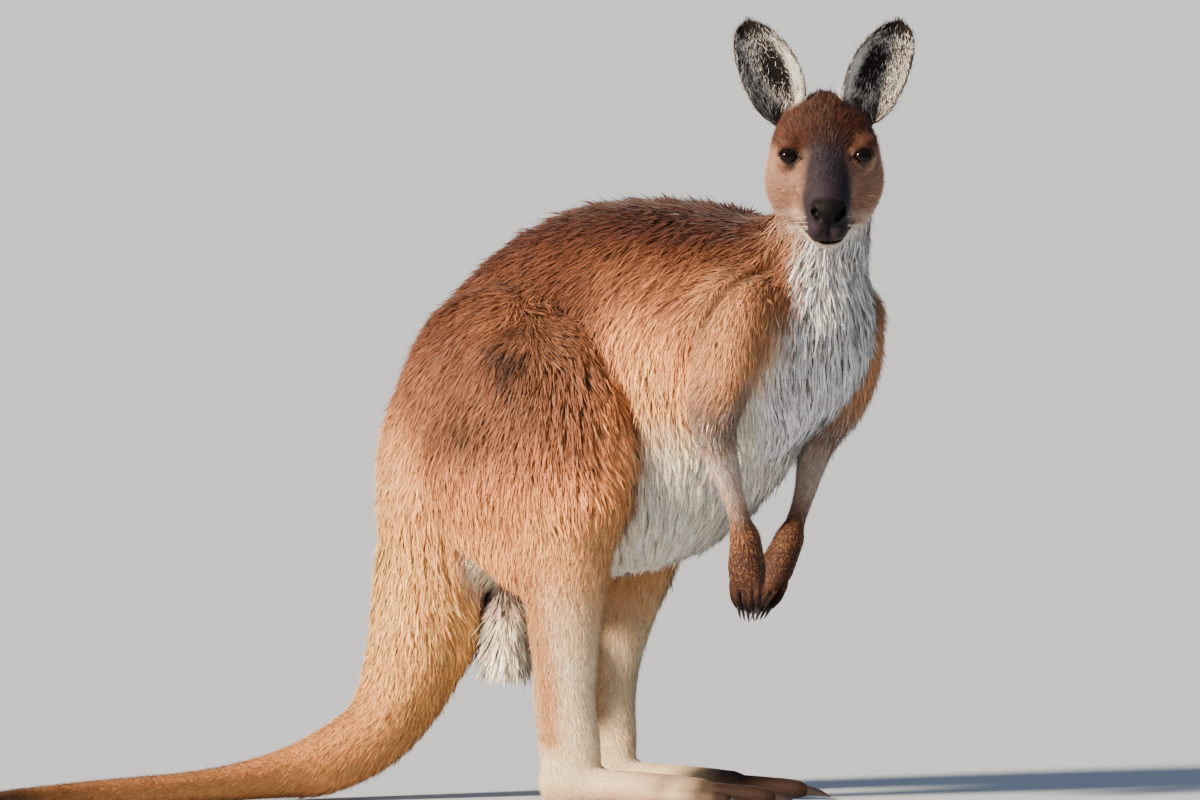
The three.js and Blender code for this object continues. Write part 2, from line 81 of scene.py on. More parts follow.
def ramp(x: Array, low: float, high: float) -> Array:
    """Returns a smooth step from 0 at `low` to 1 at `high`, which may be the lower of the two."""
    t = np.clip((np.asarray(x, float) - low) / (high - low), 0.0, 1.0)
    return t * t * (3.0 - 2.0 * t)


def bump(x: Array, middle: float, half: float) -> Array:
    """Returns a smooth hump, 1 at `middle` and 0 further than `half` from it."""
    return 1.0 - ramp(np.abs(np.asarray(x, float) - middle), 0.0, half)


def bell(x: Array, middle: Array, width: float) -> Array:
    """Returns a bell curve, 1 at `middle` and about a third at `width` from it."""
    return np.exp(-(((x - middle) / width) ** 2))


def smooth_min(a: Array, b: Array, k: float) -> Array:
    """Returns the smaller of two distances, rounded over `k` where they are level."""
    h = np.maximum(k - np.abs(a - b), 0) / k
    return np.minimum(a, b) - h * h * k * MEET


def smooth_max(a: Array, b: Array, k: float) -> Array:
    """Returns the larger of two distances, rounded over `k` where they are level."""
    return -smooth_min(-a, -b, k)


def dot(a: Array, b: Array) -> Array:
    """Returns the dot product of two stacks of vectors."""
    return np.einsum("...i,...i->...", a, np.broadcast_to(b, a.shape))


def placed(at: Sequence[float], turn: float, dip: float = 0.0) -> tuple[Array, Array]:
    """Makes a frame turned about Z, then tipped nose down.

    Args:
        at: its origin.
        turn: degrees about Z.
        dip: degrees that its X axis points below level.

    Returns:
        The origin, and the axes as columns.
    """
    c, s = math.cos(math.radians(turn)), math.sin(math.radians(turn))
    cd, sd = math.cos(math.radians(dip)), math.sin(math.radians(dip))
    about_z = np.array([[c, -s, 0], [s, c, 0], [0, 0, 1.0]])
    about_y = np.array([[cd, 0, sd], [0, 1.0, 0], [-sd, 0, cd]])
    return np.array(at, float), about_z @ about_y


def spline(points: Array, steps: int = STEPS) -> Array:
    """Draws a smooth curve.

    Args:
        points: the places that it goes through.
        steps: straight lengths to each span.

    Returns:
        Points along it.
    """
    points = np.asarray(points, float)
    padded = np.vstack([2 * points[0] - points[1], points, 2 * points[-1] - points[-2]])
    made = []
    for i in range(len(points) - 1):
        p0, p1, p2, p3 = padded[i : i + 4]
        for u in np.arange(steps) / steps:
            m1, m2 = (p2 - p0) / 2, (p3 - p1) / 2
            made.append(
                (2 * u**3 - 3 * u**2 + 1) * p1
                + (u**3 - 2 * u**2 + u) * m1
                + (3 * u**2 - 2 * u**3) * p2
                + (u**3 - u**2) * m2
            )
    return np.array(made + [points[-1]])


class Noise:
    """Smooth random values in space, the same on each run."""

    def __init__(self, seed: int) -> None:
        """Fills the table that the values are read from."""
        self.table = np.random.default_rng(seed).random(4096)

    def __call__(self, p: Array, size: float) -> Array:
        """Reads the noise.

        Args:
            p: points.
            size: how far apart its values change.

        Returns:
            Values from -1 to 1.
        """
        q = np.asarray(p, float) / size + 511.0
        cell = np.floor(q).astype(np.int64)
        f = q - cell
        f = f * f * (3 - 2 * f)
        total = 0.0
        for corner in np.ndindex(2, 2, 2):
            c = cell + corner
            key = (c[..., 0] * HASH[0] ^ c[..., 1] * HASH[1] ^ c[..., 2] * HASH[2]) & 4095
            share = np.prod(np.where(np.array(corner) == 1, f, 1 - f), axis=-1)
            total = total + share * self.table[key]
        return 2 * total - 1


# ---- the body
class Part(Enum):
    """The regions of the coat."""

    TRUNK = 0
    NECK = 1
    HEAD = 2
    EAR = 3
    TAIL = 4
    THIGH = 5
    SHIN = 6
    FOOT = 7
    ARM = 8
    HAND = 9
    SCROTUM = 10


def outside(x: Array, y: Array, z: Array, a: Array, b: Array, c: Array) -> Array:
    """Measures how far points lie outside an ellipsoid, along the line to its centre.

    Args:
        x, y, z: the points, from its centre.
        a, b, c: its half axes.

    Returns:
        The distances, negative inside.
    """
    away = np.sqrt(x * x + y * y + z * z)
    share = np.sqrt((x / a) ** 2 + (y / b) ** 2 + (z / c) ** 2)
    return np.where(share < 1e-6, -np.minimum(a, b), away - away / np.maximum(share, 1e-6))


class Mass:
    """A smooth mass of flesh: something with a distance outside it, a lie of the hair and a coat."""

    part = Part.TRUNK
    blend = 20.0
    sign = 1.0  # whether the hair runs toward the last station

    def distance(self, p: Array) -> Array:
        """Measures points against the skin.

        Args:
            p: points in the mass's frame.

        Returns:
            How far they lie outside it, negative inside.
        """
        raise NotImplementedError

    def lie(self, p: Array) -> tuple[Array, Array, Array]:
        """Lays the hair.

        Args:
            p: points in the mass's frame.

        Returns:
            Its direction, the share of the way along the mass, and the coat's depth.
        """
        raise NotImplementedError

    def spot(self, p: Array) -> tuple[Array, Array]:
        """Returns places from 0 to 1 round and along the mass, for unwrapping."""
        raise NotImplementedError


class Tube(Mass):
    """A tube of elliptical section through stations [x, y, z, half width, half depth, coat]."""

    def __init__(self, part: Part, stations: Sequence, side: Sequence[float] = (0, 1, 0), blend: float = 20.0,
                 sign: float = 1.0) -> None:
        """Lays the tube.

        Args:
            part: its region of the coat.
            stations: as above.
            side: the way its width runs.
            blend: how softly it meets its neighbours.
            sign: 1 where its hair runs toward the last station, else -1.
        """
        self.part, self.blend, self.sign = part, blend, sign
        knots = spline(np.array(stations, float))
        self.begin, self.end = knots[:-1], knots[1:]
        self.run = self.end[:, :3] - self.begin[:, :3]
        self.square = (self.run**2).sum(1)
        self.axis = unit(self.run)
        side = np.array(side, float)
        self.across = unit(side - self.axis * (self.axis @ side)[:, None])
        self.deep = np.cross(self.axis, self.across)
        wide = knots[:, 3:5].max(1)[:, None]
        self.low = (knots[:, :3] - wide).min(0) - REACH
        self.high = (knots[:, :3] + wide).max(0) + REACH
        lengths = np.sqrt(self.square)
        self.length = lengths.sum()
        self.before = np.concatenate([[0.0], np.cumsum(lengths)])

    def span(self, p: Array, i: int) -> tuple[Array, Array, Array, Array, Array]:
        """Sets points against one straight length.

        Args:
            p: the points.
            i: the length's number.

        Returns:
            The distance outside it, the share of the way along, the places across and deep, and the coat.
        """
        v = p - self.begin[i, :3]
        t = np.clip(v @ self.run[i] / self.square[i], 0.0, 1.0)
        v = v - t[:, None] * self.run[i]
        size = self.begin[i, 3:] + (self.end[i, 3:] - self.begin[i, 3:]) * t[:, None]
        w, d, coat = size.T
        x, y = v @ self.across[i], v @ self.deep[i]
        return outside(x, y, v @ self.axis[i], w, d, (w + d) / 2) + coat, t, x, y, coat

    def distance(self, p: Array) -> Array:
        """Returns how far points lie outside the tube, or FAR where they are out of its reach."""
        least = np.full(len(p), FAR)
        near = ((p > self.low) & (p < self.high)).all(1)
        if not near.any():
            return least
        q = p[near]
        best = np.full(len(q), FAR)
        for i in range(len(self.run)):
            best = np.minimum(best, self.span(q, i)[0])
        least[near] = best
        return least

    def nearest(self, p: Array) -> Iterable[tuple[int, Array, list[Array]]]:
        """Goes through the straight lengths.

        Args:
            p: points.

        Yields:
            Each length's number, which points it is the nearest to so far, and their own shares of the way
            along it, places across and deep, and coat.
        """
        best = np.full(len(p), np.inf)
        for i in range(len(self.run)):
            d, *found = self.span(p, i)
            closer = d < best
            best[closer] = d[closer]
            yield i, closer, [value[closer] for value in found]

    def lie(self, p: Array) -> tuple[Array, Array, Array]:
        """Returns the hair's direction, the share of the way along and the coat, from the nearest length."""
        flow, along, coats = np.zeros_like(p), np.zeros(len(p)), np.zeros(len(p))
        for i, mine, (t, _, _, coat) in self.nearest(p):
            flow[mine] = self.axis[i]
            along[mine] = (self.before[i] + t * math.sqrt(self.square[i])) / self.length
            coats[mine] = coat
        return flow * self.sign, along, coats

    def spot(self, p: Array) -> tuple[Array, Array]:
        """Returns places round and along the tube."""
        u, v = np.zeros(len(p)), np.zeros(len(p))
        for i, mine, (t, x, y, _) in self.nearest(p):
            u[mine] = np.arctan2(y, x) / (2 * math.pi) + 0.5
            v[mine] = (i + t) / len(self.run)
        return u, v


class Blob(Mass):
    """An ellipsoid."""

    def __init__(self, part: Part, at: Sequence[float], radii: Sequence[float], coat: float,
                 blend: float = 20.0, way: Sequence[float] = (-1, 0, 0)) -> None:
        """Places the ellipsoid.

        Args:
            part: its region of the coat.
            at: its middle.
            radii: its half axes.
            coat: the coat's depth.
            blend: how softly it meets its neighbours.
            way: the way its hair runs.
        """
        self.part, self.blend, self.coat = part, blend, coat
        self.at, self.radii, self.way = np.array(at, float), np.array(radii, float), unit(np.array(way))

    def distance(self, p: Array) -> Array:
        """Returns how far points lie outside the skin, which is the coat's depth inside the ellipsoid."""
        return outside(*(p - self.at).T, *self.radii) + self.coat

    def lie(self, p: Array) -> tuple[Array, Array, Array]:
        """Returns one direction and one depth for all points."""
        n = len(p)
        return np.tile(self.way, (n, 1)), np.full(n, 0.5), np.full(n, self.coat)

    def spot(self, p: Array) -> tuple[Array, Array]:
        """Returns places round and along the ellipsoid's X axis."""
        x, y, z = unit(p - self.at).T
        return np.arctan2(y, z) / (2 * math.pi) + 0.5, np.arccos(np.clip(x, -1, 1)) / math.pi


@dataclass(eq=False)
class Ear(Mass):
    """A cupped leaf that leans out toward its tip, its hollow facing forward."""

    side: int  # 1 for the left ear, -1 for the right
    length: float = 112.0
    half_width: float = 33.0
    wall: float = 3.5  # half its thickness along the middle, with its hair
    coat: float = 1.4
    part: Part = Part.EAR
    blend: float = 9.0

    def __post_init__(self) -> None:
        """Sets the ear's axes."""
        self.along = unit(np.array([-0.14, self.side * 0.2, 0.97]))
        facing = np.array([1.0, self.side * 0.05, 0.0])
        self.front = unit(facing - self.along * (facing @ self.along))
        self.across = np.cross(self.front, self.along)

    def sheet(self, p: Array) -> tuple[Array, Array, Array, Array]:
        """Flattens the leaf.

        Args:
            p: points in the head's frame.

        Returns:
            The shares of the way up and across, the distance in front of the leaf's middle, and the distance
            past its edges.
        """
        s = np.full(len(p), 0.5)
        for _ in range(3):
            base = np.stack([np.full_like(s, -58.0), self.side * (41 + 21 * s * s), np.full_like(s, 24.0)], 1)
            s = np.clip(dot(p - base, self.along) / self.length, 0.0, 1.0)
        over = dot(p - base, self.along) - s * self.length
        q = p - base - s[:, None] * self.length * self.along
        past = (s - 0.5) / np.where(s < 0.5, 0.53, 0.503)
        half = self.half_width * np.sqrt(1 - past * past)
        curl = np.radians(88 - 50 * s)
        bend = half / np.sin(curl)
        x, z = dot(q, self.across), dot(q, self.front) - bend
        turn = np.arctan2(x, -z)
        held = np.clip(turn, -curl, curl)
        reach = np.hypot(x - bend * np.sin(held), z + bend * np.cos(held))
        inner = bend - np.hypot(x, z)
        edge = np.where(np.abs(turn) > curl, reach, 0.0)
        return s, held / curl, np.where(np.abs(turn) > curl, 0.0, inner), np.hypot(edge, over)

    @staticmethod
    def hollow(s: Array, medial: Array) -> Array:
        """Returns how deep in the middle of the ear's hollow a place on the inside is, where the paint darkens as
        painted shade.
        """
        return ramp(np.hypot((s - 0.49) / 0.28, (medial - 0.18) / 0.46), 1.3, 0.65)

    def distance(self, p: Array) -> Array:
        """Returns how far points lie outside the leaf, which is thickest along its middle."""
        made = np.full(len(p), FAR)
        near = (p[:, 2] > -10) & (np.abs(p[:, 1] - self.side * 66) < 70) & (np.abs(p[:, 0] + 62) < 66)
        if near.any():
            _, t, inner, edge = self.sheet(p[near])
            half = np.maximum(self.wall * np.sqrt(1 - 0.97 * t * t) - self.coat, 1.1)
            made[near] = np.hypot(inner, edge) - half
        return made

    def lie(self, p: Array) -> tuple[Array, Array, Array]:
        """Returns hair that runs up the ear and fans to its edges."""
        s, t, inner, _ = self.sheet(p)
        sway = np.where(inner > 0, -0.5, 0.15) * t
        way = unit(self.along + self.across * sway[:, None])
        return way, s, np.full(len(p), self.coat)

    def spot(self, p: Array) -> tuple[Array, Array]:
        """Returns places across each face of the leaf, side by side, and up it."""
        s, t, inner, _ = self.sheet(p)
        return np.where(inner > 0, 0.25, 0.75) + t * 0.23, s


class Union(Mass):
    """A smooth union of masses, in a frame of its own if one is given."""

    def __init__(self, masses: Sequence[Mass], place: tuple[Array, Array] | None = None,
                 blend: float = 20.0) -> None:
        """Keeps the masses, the frame that they are given in, and how softly the whole meets others."""
        self.masses, self.place, self.blend = list(masses), place, blend

    def local(self, p: Array) -> Array:
        """Returns points in the union's own frame."""
        return p if self.place is None else (p - self.place[0]) @ self.place[1]

    def distance(self, p: Array) -> Array:
        """Returns how far points lie outside all of the masses, rounded where they meet."""
        q = self.local(p)
        total = np.full(len(p), 1e6)
        for mass in self.masses:
            total = smooth_min(total, mass.distance(q), mass.blend)
        return total

    def leaves(self, p: Array) -> Iterable[tuple[Mass, Array, Callable[[Array], Array]]]:
        """Takes the union apart.

        Args:
            p: points.

        Yields:
            Each simple mass, the points in its frame, and what turns its directions back.
        """
        q = self.local(p)
        back = (lambda v: v) if self.place is None else (lambda v: v @ self.place[1].T)
        for mass in self.masses:
            if isinstance(mass, Union):
                yield from mass.leaves(q)
            else:
                yield mass, q, back


HEAD_PLACE = placed((313, -162, 727), -74, 18)
CHEST_PLACE = placed((228, -60, 0), -25)
EYE_AT = (13.0, 40.0, 1.0)  # the left eyeball's middle, in the head's frame
EYE_RADIUS = 14.0
LID = 2.0  # how far the lids' skin lies outside the eyeball
STANCE = 73.0  # how far each foot's middle lies from the midline


@dataclass(eq=False)
class Opening:
    """The almond-shaped gap between an eye's lids, seen from the middle of the eyeball."""

    side: int  # 1 for the left eye, -1 for the right
    turn: float = math.radians(5)  # the gaze: outward
    tilt: float = math.radians(23)  # and upward
    out_reach: float = math.radians(42)
    in_reach: float = math.radians(43)
    above: float = math.radians(30)
    under: float = math.radians(28)
    slant: float = 0.13  # how much higher the outer corner lies than the middle

    def __post_init__(self) -> None:
        """Sets the eye's axes."""
        side = self.side
        ahead = np.array([math.cos(self.turn), side * math.sin(self.turn), math.sin(self.tilt)])
        self.ahead = unit(ahead)
        self.out = unit(np.cross(self.ahead, (0, 0, 1)) * -side)
        self.up = np.cross(self.ahead, self.out) * side
        self.at = np.array([EYE_AT[0], side * EYE_AT[1], EYE_AT[2]])

    def angles(self, p: Array) -> tuple[Array, Array, Array]:
        """Returns points' turn outward, their height as an angle, and their distance from the eye's middle."""
        q = p - self.at
        away = np.linalg.norm(q, axis=1)
        turn = np.arctan2(dot(q, self.out), dot(q, self.ahead))
        return turn, np.arcsin(np.clip(dot(q, self.up) / np.maximum(away, 1e-6), -1, 1)), away

    def edges(self, turn: Array) -> tuple[Array, Array]:
        """Returns the heights of the lower and the upper lid's edge at a turn outward."""
        share = turn / np.where(turn > 0, self.out_reach, self.in_reach)
        arch = np.clip(1 - share * share, 0, 1)
        slant = self.slant * share
        return -self.under * arch**0.7 + slant, self.above * arch**0.55 + slant

    def gap(self, p: Array) -> Array:
        """Measures points against the opening.

        Args:
            p: points in the head's frame.

        Returns:
            How far outside it they lie along the lids, negative inside.
        """
        turn, height, away = self.angles(p)
        low, high = self.edges(turn)
        sides = np.maximum(turn - self.out_reach, -turn - self.in_reach)
        inside = np.maximum(np.maximum(height - high, low - height), sides)
        return np.where(away < 32, inside * np.minimum(away, EYE_RADIUS + 6), FAR)


class Head(Union):
    """The head's skin: the masses of the skull, and the eyes, nostrils and mouth let into them."""

    mouth = 4.2  # the depth of the line between the lips
    groove = 2.4  # the depth of the upper lip's groove

    def __init__(self) -> None:
        """Places the head's masses: skull, cheeks, muzzle, jaw, brows, nose, lips and ears."""
        head = Part.HEAD
        masses: list[Mass] = [
            Blob(head, (-42, 0, 6), (62, 57, 51), 5),
            Blob(head, (-16, 0, 5), (38, 59, 38), 4),
            Blob(head, (-16, 25, -32), (48, 43, 44), 4.5),
            Blob(head, (-16, -25, -32), (48, 43, 44), 4.5),
            Tube(head, [(0, 0, -14, 38, 35, 3.5), (38, 0, -24, 32, 33, 2.5), (72, 0, -34, 27, 28, 1.6),
                        (87, 0, -40, 22.5, 23.5, 1.2)], sign=-1),
            Blob(head, (101, 0, -36), (12.5, 18, 13.5), 0.6, 5),
            Tube(head, [(-10, 0, -58, 44, 28, 5), (36, 0, -66, 33, 22, 3), (76, 0, -71, 20, 15, 2)],
                 blend=22, sign=-1),
        ]
        self.openings = [Opening(1), Opening(-1)]
        for o in self.openings:
            s = o.side
            masses += [
                Blob(head, tuple(o.at), (EYE_RADIUS + LID,) * 3, 0, 7),
                Blob(head, (5, s * 41, 19), (10, 14, 6), 2.0, 9, (-0.6, s * 0.8, 0.1)),  # brow
                Blob(head, (98, s * 12.5, -35), (11, 8, 11), 0.6, 4),  # nostril's wing
                Blob(head, (88, s * 10.5, -58), (18, 12, 14.5), 0.8, 5),  # upper lip
                Ear(s),
            ]
        super().__init__(masses, HEAD_PLACE, 32)

    def distance(self, p: Array) -> Array:
        """Returns how far points lie outside the head's skin."""
        made = super().distance(p)
        near = made < REACH
        if near.any():
            made[near] = self._let_in(self.local(p[near]), made[near])
        return made

    def _let_in(self, q: Array, d: Array) -> Array:
        """Lets the openings into the skin.

        Args:
            q: points in the head's frame.
            d: their distances outside it.

        Returns:
            The distances once eyes, nostrils, mouth and the lip's groove are let in.
        """
        for o in self.openings:
            d = smooth_max(d, -o.gap(q), 1.2)
            d = smooth_max(d, -nostril(q, o.side), 2.0)
        x, y, z = q.T
        mouth = z - mouth_line(x, y)
        mouth = mouth / np.where(mouth > 0, 1.5, 1.1)
        d = d + self.mouth * np.exp(-mouth * mouth) * ramp(x, 38, 54)
        groove = bell(y, 0, 1.3) * ramp(x, 84, 92) * ramp(z, -75, -68) * ramp(z, -40, -47)
        return d + self.groove * groove


def mouth_line(x: Array, y: Array) -> Array:
    """Returns the height of the line between the lips at a place along and across the head."""
    return -74.5 + 4.0 * np.minimum(np.abs(y) / 27, 1.2) ** 2 + 0.10 * np.maximum(92 - x, 0)


# a nostril's comma, as [x, y, z, radius] along it in the head's frame
NOSTRIL = ((104.5, 18.0, -31.5, 3.0), (108.0, 15.2, -37.5, 5.2), (111.0, 10.8, -43.0, 5.0),
           (112.5, 7.2, -46.5, 3.0))


def nostril(q: Array, side: int) -> Array:
    """Measures how far points lie outside a nostril.

    Args:
        q: points in the head's frame.
        side: 1 for the left nostril, -1 for the right.

    Returns:
        The distances, negative inside.
    """
    made = np.full(len(q), FAR)
    for (*a, ra), (*b, rb) in zip(NOSTRIL, NOSTRIL[1:]):
        start, run = np.array(a) * (1, side, 1), (np.array(b) - np.array(a)) * (1, side, 1)
        t = np.clip((q - start) @ run / (run @ run), 0, 1)
        away = (q - start - t[:, None] * run) * (0.5, 1, 1)  # it runs twice as deep as it is wide
        made = np.minimum(made, np.linalg.norm(away, axis=1) - ra - (rb - ra) * t)
    return made


class Body(Union):
    """The whole animal's skin."""

    groove = 9.0  # the depth of the crease behind each shoulder
    fold = 10.0  # the depth of the folds before the thighs and behind the elbows
    sole = 0.8  # the height of the soles' skin over the floor

    def __init__(self) -> None:
        """Places the trunk, the neck, the head, the tail, the scrotum and the limbs."""
        self.head = Head()
        trunk = Tube(Part.TRUNK, [
            (-150, 0, 372, 98, 104, 9), (-122, 0, 397, 116, 138, 9), (-48, 0, 440, 134, 188, 9),
            (43, -5, 480, 140, 212, 10), (135, -25, 522, 128, 171, 10), (226, -59, 537, 108, 121, 11),
            (262, -77, 564, 78, 92, 11)], blend=30, sign=-1)
        neck = Tube(Part.NECK, [(250, -68, 578, 80, 82, 11), (290, -87, 650, 58, 60, 9),
                                (297, -102, 706, 52, 54, 6)], blend=28, sign=-1)
        tail = Tube(Part.TAIL, [
            (-160, 0, 350, 78, 82, 9), (-188, -2, 280, 68, 74, 8), (-203, -8, 195, 60, 66, 8),
            (-220, -22, 130, 50, 55, 7), (-248, -48, 77, 40, 46, 6), (-296, -88, 43, 34, 39, 5),
            (-344, -132, 29, 28, 28.5, 4), (-404, -207, 20.5, 21, 21, 3.5), (-488, -312, 17, 17.5, 18, 3.2),
            (-559, -425, 13.5, 13.5, 14.5, 3), (-598, -525, 8.5, 8.5, 9.5, 3)], (0.3, 0.95, 0), 45)
        scrotum = Tube(Part.SCROTUM, [(-108, -2, 290, 13, 13, 4), (-103, -4, 245, 15, 15, 5),
                                      (-98, -6, 205, 27, 24, 8), (-97, -7, 172, 27, 24, 9)], blend=14)
        self.limbs = [self.leg(1, 12), self.leg(-1, -5), self.arm(1, ARM_LEFT), self.arm(-1, ARM_RIGHT)]
        super().__init__([trunk, neck, self.head, tail, scrotum, *self.limbs])

    @staticmethod
    def leg(s: int, ahead: float) -> Union:
        """Makes a hind leg.

        Args:
            s: 1 for the left leg, -1 for the right.
            ahead: how far its knee lies before an even stance.

        Returns:
            The thigh, the shin, the foot and the toes.
        """
        thigh = Union([
            Tube(Part.THIGH, [
                (-118, s * 70, 452, 66, 132, 9), (-64 + ahead * 0.4, s * 92, 448, 76, 150, 9),
                (-20 + ahead * 0.8, s * 110, 414, 71, 130, 9), (16 + ahead, s * 122, 358, 55, 78, 9)]),
            Tube(Part.THIGH, [(-108, s * 92, 330, 36, 46, 8), (-52, s * 108, 284, 36, 42, 7)], blend=30),
        ])
        shin = Tube(Part.SHIN, [
            (26 + ahead, s * 126, 345, 43, 50, 8), (8 + ahead, s * 117, 285, 41, 56, 7),
            (-1 + ahead * 0.5, s * 106, 225, 33, 47, 5), (-6, s * 95, 165, 27, 40, 4),
            (-9, s * 85, 115, 24, 38, 3.5), (-6, s * 77, 70, 23, 38, 3), (-4, s * STANCE, 36, 22, 36, 2.5)],
            blend=30)
        foot = Tube(Part.FOOT, [
            (-22, s * STANCE, 23, 19, 25, 2), (30, s * STANCE, 21, 21, 21, 2),
            (100, s * (STANCE + 1), 18.5, 22, 19, 1.6), (145, s * (STANCE + 2), 16.5, 19, 16.5, 1.4)], blend=12)
        toes = [Tube(Part.FOOT, [(x, s * (STANCE + out), z, r, r, 1.2) for x, out, z, r in toe], blend=4)
                for toe in TOES]
        return Union([thigh, shin, foot, *toes], blend=16)

    @staticmethod
    def arm(s: int, stations: Sequence) -> Union:
        """Makes an arm.

        Args:
            s: 1 for the left arm, -1 for the right.
            stations: the arm's, down to the palm, in the chest's frame.

        Returns:
            The arm, the hand and the fingers.
        """
        turned = [(x, s * y, *rest) for x, y, *rest in stations]
        back, palm = (np.array(t[:3], float) for t in turned[-2:])
        down = unit(palm - back)
        short = (*(palm - down * 9), turned[-1][3] - 1, turned[-1][4] - 3, turned[-1][5])
        masses: list[Mass] = [Tube(Part.ARM, turned[:8], (1, 0, 0)),
                              Tube(Part.HAND, [*turned[6:8], short], (1, 0, 0))]
        for number, ahead in enumerate(FINGERS):
            spots = [(0.95, -16, 0.5, 5.4), (1.04, -3, 3.2, 5.6), (1.06, 7, 3.8, 4.7), (1.0, 17, 2.4, 5.0),
                     (0.86, 27, -0.4, 4.2)]
            long = 1 - abs(ahead) * 0.009
            over = (-1.2, 1.4)[number % 2]  # the fingers lie a little over and under each other
            masses.append(Tube(Part.HAND, [
                (*(palm + np.array([ahead * spread, s * (out + over), 0]) + down * step * long), r, r, 0.5)
                for spread, step, out, r in spots], (1, 0, 0), blend=1.6))
        return Union(masses, CHEST_PLACE, 34)

    def distance(self, p: Array) -> Array:
        """Returns how far points lie outside the skin, with folds round the limbs and flat soles."""
        total = np.full(len(p), 1e6)
        for mass in self.masses:
            d = mass.distance(p)
            deeper = 0.0
            if mass in self.limbs:
                near = bell(total, d, 7) * (np.abs(d) < 40)
                deeper = self.fold * near * self._folded(p, mass)
            total = smooth_min(total, d, mass.blend) + deeper
        return np.maximum(total + self.groove * self.crease(p), self.sole - p[:, 2])

    @staticmethod
    def crease(p: Array) -> Array:
        """Returns how deep the crease behind each shoulder is, as a share of its most, at points."""
        q = (p - CHEST_PLACE[0]) @ CHEST_PLACE[1]
        line = np.interp(p[:, 2], (460, 509, 554, 605, 640), (-47, -33, 13, 47, 62))
        groove = bell(q[:, 0], line, 8.5) * ramp(p[:, 2], 488, 550) * ramp(p[:, 2], 668, 630)
        return groove * ramp(np.abs(q[:, 1]), 38, 60)

    @staticmethod
    def _folded(p: Array, limb: Union) -> Array:
        """Returns the share of its depth that the fold has at points: before the thigh, or behind the elbow."""
        if limb.place is None:
            return ramp(p[:, 0], -40, 40) * (1 - 0.65 * ramp(p[:, 2], 450, 540))
        q = limb.local(p)
        return ramp(q[:, 2], 560, 510) * ramp(q[:, 0], 25, -15)


# the toes, as [x, outward, z, radius] along each: the fourth, the fifth and the two that groom
TOES = [
    [(90, 2, 16, 14), (125, 2, 15, 15), (180, 2, 13.5, 13.5), (218, 2, 12, 12), (229, 2, 11, 9)],
    [(60, 8, 14, 10), (100, 15, 12, 10.5), (150, 21, 10, 10.5), (178, 23, 9.5, 9.5), (185, 23, 9, 7)],
    [(50, -8, 13, 9), (80, -14, 11, 6), (120, -16.4, 9.5, 6), (146, -17.4, 8.5, 5.6), (151, -17.4, 8, 4.5)],
    [(50, -8, 13, 9), (80, -16, 11, 6), (120, -22.4, 9.5, 6), (146, -23.6, 8.5, 5.6), (151, -23.6, 8, 4.5)],
]
FINGERS = (-17, -9, 0, 9, 17)  # how far each finger's root lies along the palm
# the arms' stations in the chest's frame, from the shoulder to the palm
ARM_LEFT = [
    (26, 96, 552, 52, 46, 8), (22, 112, 505, 42, 36, 8), (6, 114, 458, 35, 31, 7), (-10, 112, 430, 27, 26, 6),
    (-17, 99, 398, 20, 19, 4), (-14, 70, 343, 13, 12.5, 2.5), (-12, 43, 299, 14, 12.5, 2),
    (-16, 27, 270, 18, 13.5, 1.3), (-18, 16, 247, 22, 13.5, 1.2)]
ARM_RIGHT = [
    (30, 96, 552, 52, 46, 8), (28, 114, 505, 43, 36, 8), (17, 119, 458, 37, 31, 7), (12, 117, 430, 29, 27, 6),
    (9, 101, 393, 21, 20, 4), (7, 76, 345, 13.5, 13, 2.5), (4, 54, 301, 14.5, 13, 2),
    (-1, 45, 272, 19, 14, 1.3), (-5, 40, 249, 25, 14, 1.2)]


# ---- the skin's mesh
def spaced(stops: Sequence[tuple[float, float]], end: float, scale: float) -> Array:
    """Sets the places of a grid along an axis.

    Args:
        stops: each stretch's start and the step within it.
        end: where the last stretch ends.
        scale: what the steps are multiplied by.

    Returns:
        The places, from the first start to the end.
    """
    places = []
    for (start, step), (stop, _) in zip(stops, [*stops[1:], (end, 0)]):
        count = max(int(round((stop - start) / (step * scale))), 1)
        places.append(start + (stop - start) * np.arange(count) / count)
    return np.concatenate([*places, [end]])


